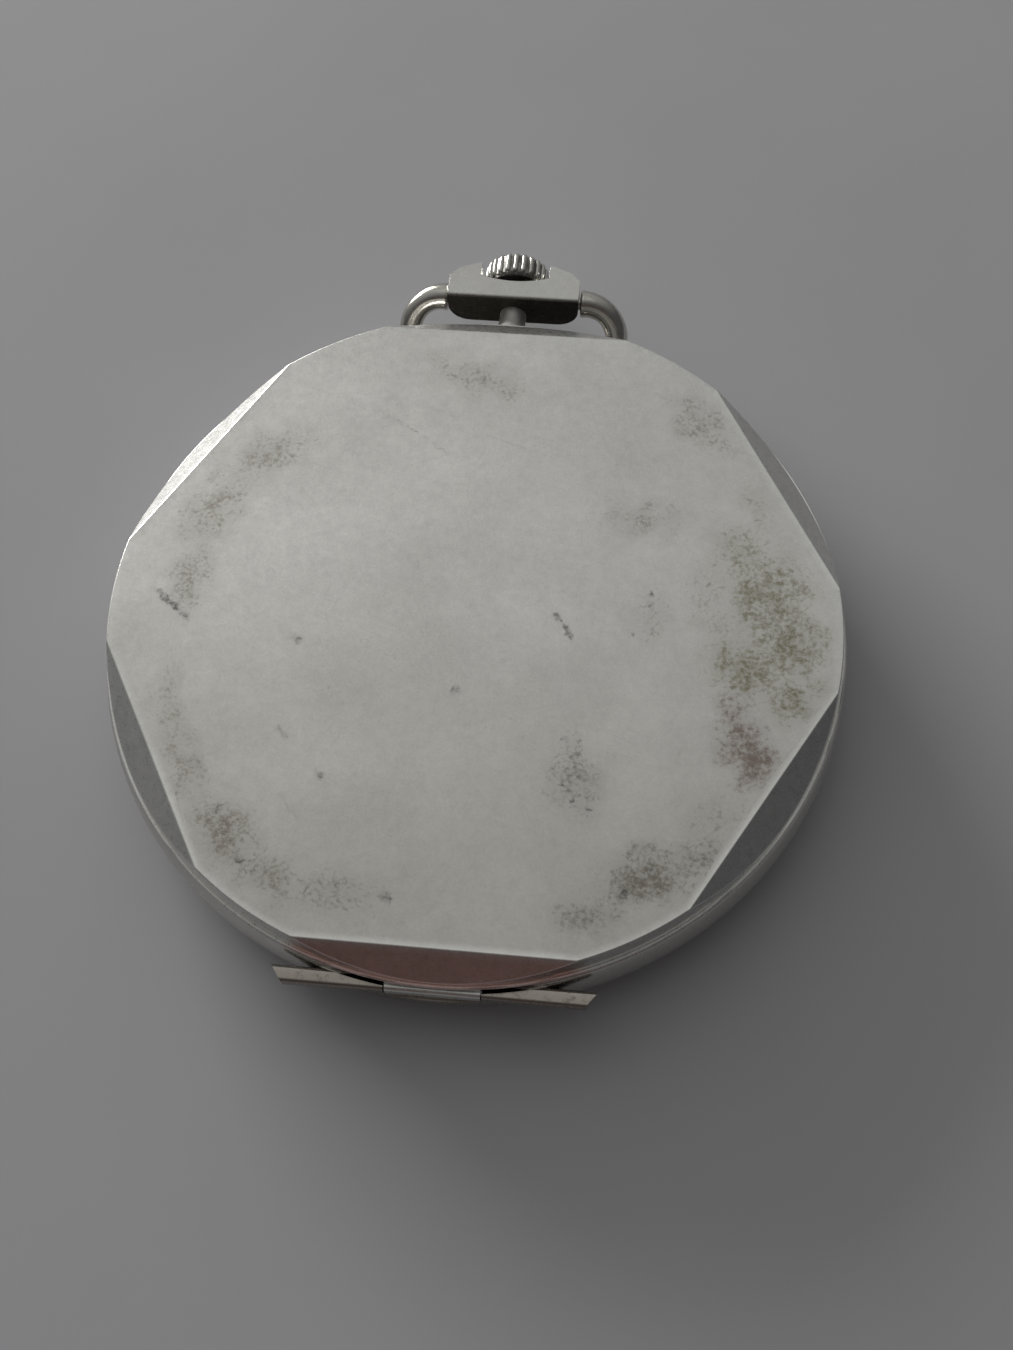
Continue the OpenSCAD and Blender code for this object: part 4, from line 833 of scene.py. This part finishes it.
# the pocket's floor is a shallow arc, as wide as the crown with a little play
pocket_half, pocket_r, pocket_floor = 2.42, 7.5, 27.18
pocket_outline = []
for k in range(17):
    x = pocket_half * (2 * k / 16 - 1)
    pocket_outline.append((x, pocket_floor + pocket_r - math.sqrt(pocket_r ** 2 - x * x)))
pocket_outline += [(pocket_half, 31), (-pocket_half, 31)]
prism(pocket, pocket_outline, 0, 8)
bar_stem = bmesh.new()
stem_bore(bar_stem, 20, 31)
bar_bm = worked(
    blank(plan), ("INTERSECT", blank(front)), ("DIFFERENCE", blank(pocket)), ("DIFFERENCE", blank(bar_stem))
)
bmesh.ops.dissolve_limit(bar_bm, angle_limit=math.radians(0.5), verts=bar_bm.verts, edges=bar_bm.edges)
# the near-black tarnish colour here is part of the painted shade on the bar
pendant_silver, pendant_tree, pendant_wear = silver(
    "pendant_silver_worn_painted_shade", (0.66, 0.65, 0.62), (0.035, 0.03, 0.026), 0.2, cloud=0.5, hairlines=0.4,
    polish=0.24, bump=0.35,
)
# painted shade: the face towards the case and the underside of the bar, which sit in shadow, are painted
# near-black
_, pendant_y, pendant_z = parted(pendant_tree, own_place(pendant_tree))
near_face = eased(pendant_tree, pendant_y, 0.02566, 0.02600, 1.0, 0.0)
under_face = eased(pendant_tree, pendant_z, 0.0032, 0.0048, 0.8, 0.0)
painted_shade_near_and_under = maths(pendant_tree, "MAXIMUM", near_face, under_face)
pendant_tree.links.new(maths(pendant_tree, "MAXIMUM", painted_shade_near_and_under, 0.14), pendant_wear.inputs["Stain"])
pendant_base_with_painted_shade = blended(pendant_tree, painted_shade_near_and_under, (0.70, 0.69, 0.66, 1), (0.09, 0.08, 0.072, 1))
pendant_tree.links.new(pendant_base_with_painted_shade, pendant_wear.inputs["Clean"])
as_piece("pendant_cross_bar", bar_bm, pendant_silver, "case", ["pendant_bar"], bevel=0.09)

# ---------------------------------------------------------------------------------------------------------
# Crown: a turned core with a domed end, and coin-edge ribs that the fingers grip, one instance after another
# round it. It is pressed on the steel winding stem.
# ---------------------------------------------------------------------------------------------------------
# the near-black tarnish colour here is part of the painted shade on the crown
crown_silver, crown_tree, crown_wear = silver(
    "crown_silver_worn_painted_shade", (0.60, 0.59, 0.56), (0.05, 0.042, 0.034), 0.25, cloud=0.5, hairlines=0.3,
    polish=0.22, bump=0.3,
)
# painted shade: the crown is painted near-black between the ribs, below their tops
crown_off = vector_maths(crown_tree, "SUBTRACT", own_place(crown_tree), (0, 0, stem_height * mm))
crown_x, crown_y, crown_z = parted(crown_tree, crown_off)
crown_depth = plus(
    crown_tree, maths(crown_tree, "POWER", crown_x, 2.0), maths(crown_tree, "POWER", crown_z, 2.0)
)
crown_depth = maths(crown_tree, "SQRT", crown_depth)
crown_painted_shade = times(
    crown_tree, eased(crown_tree, crown_depth, 0.00213, 0.00226, 1.0, 0.0),
    eased(crown_tree, crown_y, 0.0291, 0.0294, 1.0, 0.0),
)
# painted shade: the crown's base, sunk in the bar's pocket, is painted dark too
crown_painted_shade = maths(crown_tree, "MAXIMUM", crown_painted_shade, eased(crown_tree, crown_y, 0.02775, 0.02815, 0.85, 0.0))
crown_tree.links.new(maths(crown_tree, "MAXIMUM", crown_painted_shade, 0.16), crown_wear.inputs["Stain"])

crown_edge, crown_base, crown_end = 2.3, 27.6, 29.65
crown_core = bmesh.new()
spun(crown_core, softened([
    (0, crown_base), (2.0, crown_base, 0.1), (2.13, crown_base + 0.2, 0.1), (2.13, crown_end - 0.42, 0.2),
    (1.72, crown_end - 0.08, 0.3), (1.2, crown_end, 0.2), (0.6, crown_end), (0, crown_end),
]), 96, lay_along, closed=False)
core_piece = blank(crown_core, "crown core")

rib = bmesh.new()
rib_start, rib_stop = crown_base + 0.14, crown_end - 0.30
rib_high, rib_half, rib_root = 0.17, 0.19, 0.06
rib_rows = []
for run, height in (
    (0.0, 0.0), (0.07, 0.12), (0.2, rib_high), (0.5, rib_high), (0.8, rib_high), (0.93, 0.11), (1.0, -0.02)
):
    y = rib_start + run * (rib_stop - rib_start)
    half_here = rib_half * (0.75 if run in (0.0, 1.0) else 1.0)
    root = crown_edge - rib_high - rib_root
    rib_rows.append([
        rib.verts.new(Vector((w * half_here, y, root + (height + rib_root) * h)) * mm)
        for w, h in ((-1, 0), (-0.82, 0.62), (-0.38, 0.95), (0.38, 0.95), (0.82, 0.62), (1, 0))
    ])
for low, high in zip(rib_rows, rib_rows[1:]):
    for k in range(6):
        rib.faces.new((low[k], low[(k + 1) % 6], high[(k + 1) % 6], high[k]))
rib.faces.new(rib_rows[0][::-1])
rib.faces.new(rib_rows[-1])
rib_piece = blank(rib, "crown rib")
for polygon in rib_piece.data.polygons:
    polygon.use_smooth = True


def tree_inputs(tree, *wanted):
    """Gives a geometry tree its named inputs, and says which socket is which."""
    return {
        label: tree.interface.new_socket(label, in_out="INPUT", socket_type=kind).identifier
        for label, kind in wanted
    }


ribs_tree = bpy.data.node_groups.new("ribs round the crown", "GeometryNodeTree")
ribs_ids = tree_inputs(
    ribs_tree, ("Core", "NodeSocketGeometry"), ("Ribs", "NodeSocketInt"), ("Rib", "NodeSocketObject"),
    ("Axis height", "NodeSocketFloat"), ("Silver", "NodeSocketMaterial"),
)
ribs_tree.interface.new_socket("Crown", in_out="OUTPUT", socket_type="NodeSocketGeometry")
ribs_in = ribs_tree.nodes.new("NodeGroupInput")
ribs_out = ribs_tree.nodes.new("NodeGroupOutput")
rib_spots = wire(ribs_tree, "GeometryNodePoints", ("Count", ribs_in.outputs["Ribs"]))
rib_index = wire(ribs_tree, "GeometryNodeInputIndex").outputs[0]
rib_apart = maths(ribs_tree, "DIVIDE", 2 * math.pi, ribs_in.outputs["Ribs"])
rib_turn = times(ribs_tree, rib_index, rib_apart)
rib_angles = wire(ribs_tree, "ShaderNodeCombineXYZ", (1, rib_turn)).outputs[0]
rib_shape = wire(ribs_tree, "GeometryNodeObjectInfo", ("Object", ribs_in.outputs["Rib"])).outputs["Geometry"]
rib_set = wire(
    ribs_tree, "GeometryNodeInstanceOnPoints", ("Points", rib_spots.outputs[0]), ("Instance", rib_shape),
    ("Rotation", rib_angles),
).outputs[0]
rib_rise = wire(ribs_tree, "ShaderNodeCombineXYZ", (2, ribs_in.outputs["Axis height"])).outputs[0]
rib_set = wire(
    ribs_tree, "GeometryNodeTransform", ("Geometry", rib_set), ("Translation", rib_rise)
).outputs[0]
ribs_joined = ribs_tree.nodes.new("GeometryNodeJoinGeometry")
ribs_tree.links.new(ribs_in.outputs["Core"], ribs_joined.inputs[0])
ribs_tree.links.new(rib_set, ribs_joined.inputs[0])
ribs_real = wire(ribs_tree, "GeometryNodeRealizeInstances", (0, ribs_joined.outputs[0])).outputs[0]
ribs_set = wire(
    ribs_tree, "GeometryNodeSetMaterial", ("Geometry", ribs_real), ("Material", ribs_in.outputs["Silver"])
).outputs[0]
ribs_tree.links.new(ribs_set, ribs_out.inputs[0])


def grown(carrier, tree, values):
    """Runs a geometry tree on a carrier and gives back its result as a plain mesh."""
    grower = carrier.modifiers.new("grown", "NODES")
    grower.node_group = tree
    for identifier, value in values.items():
        grower[identifier] = value
    made = bpy.data.meshes.new_from_object(carrier.evaluated_get(bpy.context.evaluated_depsgraph_get()))
    carrier.modifiers.clear()
    return made


for polygon in core_piece.data.polygons:
    polygon.use_smooth = True
crown_mesh = grown(core_piece, ribs_tree, {
    ribs_ids["Ribs"]: 24, ribs_ids["Rib"]: rib_piece, ribs_ids["Axis height"]: stem_height * mm,
    ribs_ids["Silver"]: crown_silver,
})
bpy.data.objects.remove(core_piece)
bpy.data.objects.remove(rib_piece)
crown_bm = bmesh.new()
crown_bm.from_mesh(crown_mesh)
as_piece("fluted_crown", crown_bm, crown_silver, "crown_stem", ["crown"], smooth_angle=50)

# ---------------------------------------------------------------------------------------------------------
# Bow: silver wire bent to a wide loop, thickened where its pins enter the bar. It swings on the pins, and
# lies folded towards the dial.
# ---------------------------------------------------------------------------------------------------------
bow_silver, _, _ = silver(
    "bow_silver_worn", (0.58, 0.56, 0.52), (0.15, 0.115, 0.08), 0.34, cloud=0.6, hairlines=0.25,
    polish=0.2, bump=0.3,
)
bow_axis = Vector((0, 26.7, 4.45)) * mm
fold = Matrix.Translation(bow_axis) @ Matrix.Rotation(math.radians(-131), 4, "X")
wire_r, bend_r, shoulder_x = 0.8, 2.4, 5.0
# along one pin, its shoulder and the bend: x, y and the wire's radius there
course = [
    (4.12, 0, 0.0), (4.12, 0, 0.42), (4.15, 0, 0.45), (4.68, 0, 0.45), (4.72, 0, 0.86), (4.78, 0, 0.93),
    (4.88, 0, 0.95), (shoulder_x, 0, 0.93),
]
pin_rings = len(course)
for k in range(1, 37):
    a = math.radians(-90 + 5 * k)
    ease = min(k / 14, 1.0)
    course.append((
        shoulder_x + bend_r * math.cos(a), bend_r + bend_r * math.sin(a), wire_r + 0.13 * (1 - ease) ** 2
    ))
course.append((0.0, 2 * bend_r, wire_r))
course += [(-x, y, r) for x, y, r in course[:-1]][::-1]
bow_bm = bmesh.new()
around = 32
rings = []
for i, (x, y, r) in enumerate(course):
    centre = Vector((x, y, 0))
    if r < 1e-6:
        rings.append([bow_bm.verts.new(fold @ (centre * mm))])
        continue
    way = Vector((1, 0, 0))
    if pin_rings <= i < len(course) - pin_rings:
        (x_before, y_before, _), (x_after, y_after, _) = course[i - 1], course[i + 1]
        way = Vector((x_after - x_before, y_after - y_before, 0)).normalized()
    side = Vector((-way.y, way.x, 0))
    rings.append([
        bow_bm.verts.new(fold @ ((centre + side * r * math.cos(t) + Vector((0, 0, r * math.sin(t)))) * mm))
        for t in (2 * math.pi * n / around for n in range(around))
    ])
for low, high in zip(rings, rings[1:]):
    for n in range(around):
        m = (n + 1) % around
        if len(low) == 1:
            bow_bm.faces.new((low[0], high[m], high[n]))
        elif len(high) == 1:
            bow_bm.faces.new((low[n], low[m], high[0]))
        else:
            bow_bm.faces.new((low[n], low[m], high[m], high[n]))
as_piece("bow_loop", bow_bm, bow_silver, "bow", ["bow"], smooth_angle=50)

# ---------------------------------------------------------------------------------------------------------
# Dial: a silvered plate with a fine grain, a sunk small-seconds circle with turned rings, and darkened metal
# batons riveted on for the hours.
# ---------------------------------------------------------------------------------------------------------
seconds_at = Vector((0, -9.5, 0)) * mm


def distance_from(tree, place, middle):
    """How far each point is from the Z axis through a middle."""
    x, y, _ = parted(tree, vector_maths(tree, "SUBTRACT", place, tuple(middle)))
    return maths(tree, "SQRT", plus(tree, times(tree, x, x), times(tree, y, y)))


def turned_rings(tree, far, spacing):
    """The height of fine turned rings, from the distance to their middle."""
    wobble = wire(tree, "ShaderNodeCombineXYZ", (0, times(tree, far, 1.0 / (spacing * mm)))).outputs[0]
    return noise_at(tree, wobble, 1.0, 2.0, 0.6)


dial_silver, dial_tree, dial_surface = new_material("dial_silvered")
dial_place = own_place(dial_tree)
dial_cloud = noise_at(dial_tree, dial_place, 140.0, 5.0, 0.6)
dial_grain = noise_at(dial_tree, dial_place, 9000.0, 2.0, 0.6)
dial_far = distance_from(dial_tree, dial_place, (0, 0, 0))
sunk_far = distance_from(dial_tree, dial_place, seconds_at)
in_sunk = eased(dial_tree, sunk_far, 0.0049, 0.00505, 1.0, 0.0)
dial_tone = (0.80, 0.78, 0.72, 1)
for share, tone in (
    (eased(dial_tree, dial_cloud, 0.3, 0.75), (0.70, 0.675, 0.60, 1)),
    (eased(dial_tree, dial_far, 0.0175, 0.0200, 0.0, 0.5), (0.60, 0.55, 0.44, 1)),
    (times(dial_tree, in_sunk, 0.35), (0.62, 0.61, 0.58, 1)),
):
    dial_tone = blended(dial_tree, share, dial_tone, tone)
sunk_rings = times(dial_tree, turned_rings(dial_tree, sunk_far, 0.12), in_sunk)
dial_height = plus(dial_tree, times(dial_tree, dial_grain, 0.25), times(dial_tree, sunk_rings, 1.2))
feed(
    dial_tree, dial_surface, Base_Color=dial_tone, Metallic=0.35, Coat_Weight=0.15,
    Roughness=eased(dial_tree, dial_cloud, 0.3, 0.7, 0.42, 0.54), Normal=dented(dial_tree, dial_height, 0.3),
)
repaint(dial_silver, "dial")


def drifting(name, light, deep, rough, colour_noise, polish_noise=None, span=None, **more):
    """A finish whose colour and polish drift between two values, each along a noise."""
    material, tree, surface = new_material(name)
    place = own_place(tree)
    colour = noise_at(tree, place, *colour_noise)
    polish = noise_at(tree, place, *polish_noise) if polish_noise else colour
    share = eased(tree, colour, *span) if span else colour
    feed(
        tree, surface, Roughness=eased(tree, polish, 0.3, 0.7, *rough),
        Base_Color=blended(tree, share, (*light, 1), (*deep, 1)), **more,
    )
    return material


dark_metal = drifting(
    "baton_darkened", (0.11, 0.095, 0.08), (0.20, 0.175, 0.15), (0.28, 0.45), (900.0, 4.0, 0.6), Metallic=0.9
)
repaint(dark_metal, "dial_markers")

# ---------------------------------------------------------------------------------------------------------
# Dial print: a minute track round the edge, a seconds track in the sunk circle and its four numbers, laid on
# in black enamel ink.
# ---------------------------------------------------------------------------------------------------------
ink = drifting("dial_ink", (0.012, 0.012, 0.014), (0.045, 0.043, 0.042), (0.35, 0.5), (1800.0, 3.0, 0.6))

track_tree = bpy.data.node_groups.new("marks round a circle", "GeometryNodeTree")
track_ids = tree_inputs(
    track_tree, ("Carrier", "NodeSocketGeometry"), ("Marks", "NodeSocketInt"),
    ("Longer every", "NodeSocketInt"), ("Radius", "NodeSocketFloat"), ("Length", "NodeSocketFloat"),
    ("Width", "NodeSocketFloat"), ("Depth", "NodeSocketFloat"), ("Extra", "NodeSocketFloat"),
    ("Middle", "NodeSocketVector"), ("Ink", "NodeSocketMaterial"),
)
track_tree.interface.new_socket("Track", in_out="OUTPUT", socket_type="NodeSocketGeometry")
track_in = track_tree.nodes.new("NodeGroupInput")
track_out = track_tree.nodes.new("NodeGroupOutput")
mark_index = wire(track_tree, "GeometryNodeInputIndex").outputs[0]
mark_apart = maths(track_tree, "DIVIDE", 2 * math.pi, track_in.outputs["Marks"])
mark_turn = times(track_tree, mark_index, mark_apart)
mark_way = [
    times(track_tree, maths(track_tree, kind, mark_turn), track_in.outputs["Radius"])
    for kind in ("COSINE", "SINE")
]
mark_out = wire(track_tree, "ShaderNodeCombineXYZ", *enumerate(mark_way)).outputs[0]
mark_spot = vector_maths(track_tree, "ADD", mark_out, track_in.outputs["Middle"])
is_long = maths(track_tree, "MODULO", mark_index, track_in.outputs["Longer every"])
is_long = maths(track_tree, "LESS_THAN", is_long, 0.5)
mark_more = plus(track_tree, 1.0, times(track_tree, is_long, track_in.outputs["Extra"]))
mark_scale = wire(track_tree, "ShaderNodeCombineXYZ", (0, mark_more), (1, mark_more), (2, 1.0)).outputs[0]
mark_size = wire(
    track_tree, "ShaderNodeCombineXYZ", (0, track_in.outputs["Length"]), (1, track_in.outputs["Width"]),
    (2, track_in.outputs["Depth"]),
).outputs[0]
mark_points = wire(
    track_tree, "GeometryNodePoints", ("Count", track_in.outputs["Marks"]), ("Position", mark_spot)
).outputs[0]
mark_set = wire(
    track_tree, "GeometryNodeInstanceOnPoints", ("Points", mark_points),
    ("Instance", wire(track_tree, "GeometryNodeMeshCube", ("Size", mark_size)).outputs[0]),
    ("Rotation", wire(track_tree, "ShaderNodeCombineXYZ", (2, mark_turn)).outputs[0]), ("Scale", mark_scale),
).outputs[0]
marks_real = wire(track_tree, "GeometryNodeRealizeInstances", (0, mark_set)).outputs[0]
marks_inked = wire(
    track_tree, "GeometryNodeSetMaterial", ("Geometry", marks_real), ("Material", track_in.outputs["Ink"])
).outputs[0]
track_tree.links.new(marks_inked, track_out.inputs[0])

print_bm = bmesh.new()
carrier = bpy.data.objects.new("carrier", bpy.data.meshes.new("carrier"))
scene.collection.objects.link(carrier)
dial_face = Vector((0, 0, 1.897)) * mm
sunk_face = seconds_at + Vector((0, 0, 1.997)) * mm
for radius, length, width, extra, middle in (
    (19.1, 0.50, 0.07, 0.7, dial_face), (4.35, 0.42, 0.05, 0.6, sunk_face)
):
    track = grown(carrier, track_tree, {
        track_ids["Marks"]: 60, track_ids["Longer every"]: 5, track_ids["Radius"]: radius * mm,
        track_ids["Length"]: length * mm, track_ids["Width"]: width * mm, track_ids["Depth"]: 0.02 * mm,
        track_ids["Extra"]: extra, track_ids["Middle"]: middle, track_ids["Ink"]: ink,
    })
    print_bm.from_mesh(track)
    bpy.data.meshes.remove(track)
bpy.data.objects.remove(carrier)
# the dial faces down, so its twelve is at +Y and its three at -X
to_face = Matrix.Rotation(math.pi, 4, "Y")
for number, turn_deg in (("60", 90), ("15", 0), ("30", -90), ("45", 180)):
    letters = bpy.data.curves.new(number, "FONT")
    letters.body = number
    letters.size = 1.25 * mm
    letters.extrude = 0.01 * mm
    letters.align_x = "CENTER"
    letters.align_y = "CENTER"
    letters.resolution_u = 4
    drawn = bpy.data.objects.new(number, letters)
    scene.collection.objects.link(drawn)
    number_mesh = bpy.data.meshes.new_from_object(drawn.evaluated_get(bpy.context.evaluated_depsgraph_get()))
    bpy.data.objects.remove(drawn)
    turn = math.radians(turn_deg)
    spot = Vector((math.cos(turn), math.sin(turn), 0)) * 3.25 * mm
    number_mesh.transform(Matrix.Translation(sunk_face) @ to_face @ Matrix.Translation(spot))
    print_bm.from_mesh(number_mesh)
    bpy.data.meshes.remove(number_mesh)
as_piece("dial_print", print_bm, ink, "case", [])

# ---------------------------------------------------------------------------------------------------------
# Hands and screws: steel polished and heated until it turns blue.
# ---------------------------------------------------------------------------------------------------------
blued = drifting(
    "steel_blued", (0.035, 0.065, 0.24), (0.07, 0.06, 0.20), (0.14, 0.24), (260.0, 3.0), (4000.0, 2.0),
    span=(0.35, 0.7), Metallic=1.0,
)
repaint(
    blued, "hour_hand", "minute_hand", "seconds_hand", "case_screws", "bridge_screws", "ratchet_screw",
    "click_screw", "crown_wheel_screw",
)

# ---------------------------------------------------------------------------------------------------------
# Movement plates: nickel silver, grained on the plate and striped by a turning wheel on the bridges.
# ---------------------------------------------------------------------------------------------------------
def plate_finish(name, stripes):
    material, tree, surface = new_material(name)
    place = own_place(tree)
    grain_fine = noise_at(tree, place, 3500.0, 3.0, 0.6)
    age = noise_at(tree, place, 120.0, 4.0, 0.6)
    tone = blended(tree, eased(tree, age, 0.3, 0.75), (0.66, 0.64, 0.60, 1), (0.55, 0.52, 0.45, 1))
    height = grain_fine
    if stripes:
        turned = wire(
            tree, "ShaderNodeVectorRotate", ("Vector", place), ("Angle", math.radians(-32)),
            rotation_type="Z_AXIS",
        ).outputs[0]
        stripe_x, stripe_y, _ = parted(tree, turned)
        across = maths(tree, "FRACT", times(tree, stripe_x, 1 / (1.9 * mm)))
        arc = maths(tree, "SUBTRACT", across, 0.5)
        bowed = plus(tree, stripe_y, times(tree, times(tree, arc, arc), 0.0016))
        brush_place = wire(
            tree, "ShaderNodeCombineXYZ", (0, times(tree, stripe_x, 90.0)), (1, times(tree, bowed, 16000.0))
        ).outputs[0]
        brush = noise_at(tree, brush_place, 1.0, 2.0)
        tone = blended(tree, eased(tree, across, 0.0, 1.0, 0.0, 0.38), tone, (0.36, 0.35, 0.32, 1))
        height = plus(tree, times(tree, brush, 0.9), times(tree, across, 4.0))
    feed(
        tree, surface, Base_Color=tone, Metallic=1.0, Roughness=eased(tree, grain_fine, 0.3, 0.7, 0.26, 0.36),
        Normal=dented(tree, height, 0.35),
    )
    return material


repaint(plate_finish("nickel_grained", False), "main_plate")
repaint(plate_finish("nickel_striped", True), "barrel_bridge", "train_bridge", "pallet_cock", "balance_cock")

# ---------------------------------------------------------------------------------------------------------
# Wheels and barrel: brass, each turned and grained in circles about its own middle.
# ---------------------------------------------------------------------------------------------------------
def turned_finish(name, node, light, deep, rough, spacing=0.07):
    material, tree, surface = new_material(name)
    place = own_place(tree)
    low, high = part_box(node)
    ring_height = turned_rings(tree, distance_from(tree, place, (low + high) / 2), spacing)
    age = noise_at(tree, place, 380.0, 4.0, 0.6)
    feed(
        tree, surface, Metallic=1.0, Roughness=eased(tree, age, 0.3, 0.7, rough, rough + 0.12),
        Base_Color=blended(tree, eased(tree, age, 0.3, 0.75), (*light, 1), (*deep, 1)),
        Normal=dented(tree, ring_height, 0.3, 0.000006),
    )
    return material


for node in (
    "barrel", "barrel_lid", "centre_wheel", "minute_wheel", "hour_wheel", "setting_wheel",
    "intermediate_wheel", "third_wheel", "fourth_wheel", "escape_wheel",
):
    repaint(turned_finish(node + "_brass", node, (0.80, 0.60, 0.27), (0.66, 0.46, 0.19), 0.22), node)
balance_brass = turned_finish(
    "balance_brass_turned", "balance_wheel", (0.84, 0.66, 0.33), (0.74, 0.54, 0.24), 0.16
)
repaint(balance_brass, "balance_wheel")

# ---------------------------------------------------------------------------------------------------------
# Steelwork: winding wheels, levers, arbors, springs and pins in hardened steel, ground and polished.
# ---------------------------------------------------------------------------------------------------------
for node in ("ratchet_wheel", "crown_wheel"):
    repaint(turned_finish(node + "_steel", node, (0.56, 0.56, 0.57), (0.44, 0.44, 0.45), 0.16, 0.05), node)
plain_steel = drifting(
    "steel_ground", (0.55, 0.55, 0.56), (0.40, 0.39, 0.38), (0.18, 0.30), (500.0, 4.0, 0.6), (6000.0, 2.0),
    span=(0.3, 0.75), Metallic=1.0,
)
repaint(
    plain_steel, "hinge_pin", "winding_stem", "mainspring", "barrel_arbor", "click", "winding_pinion",
    "sliding_pinion", "setting_lever", "yoke", "cannon_pinion", "pallet_fork", "roller", "regulator", "stud",
)
spring_steel = drifting(
    "hairspring_blued", (0.05, 0.07, 0.18), (0.12, 0.13, 0.22), (0.2, 0.32), (700.0, 3.0, 0.6), Metallic=1.0
)
repaint(spring_steel, "hairspring")

# ---------------------------------------------------------------------------------------------------------
# Jewels: synthetic ruby, polished, pressed into the bridges.
# ---------------------------------------------------------------------------------------------------------
ruby = drifting(
    "ruby_polished", (0.62, 0.02, 0.06), (0.80, 0.05, 0.12), (0.03, 0.09), (800.0, 3.0), Metallic=0.0,
    IOR=1.76, Transmission_Weight=0.35,
)
repaint(ruby, "jewels")
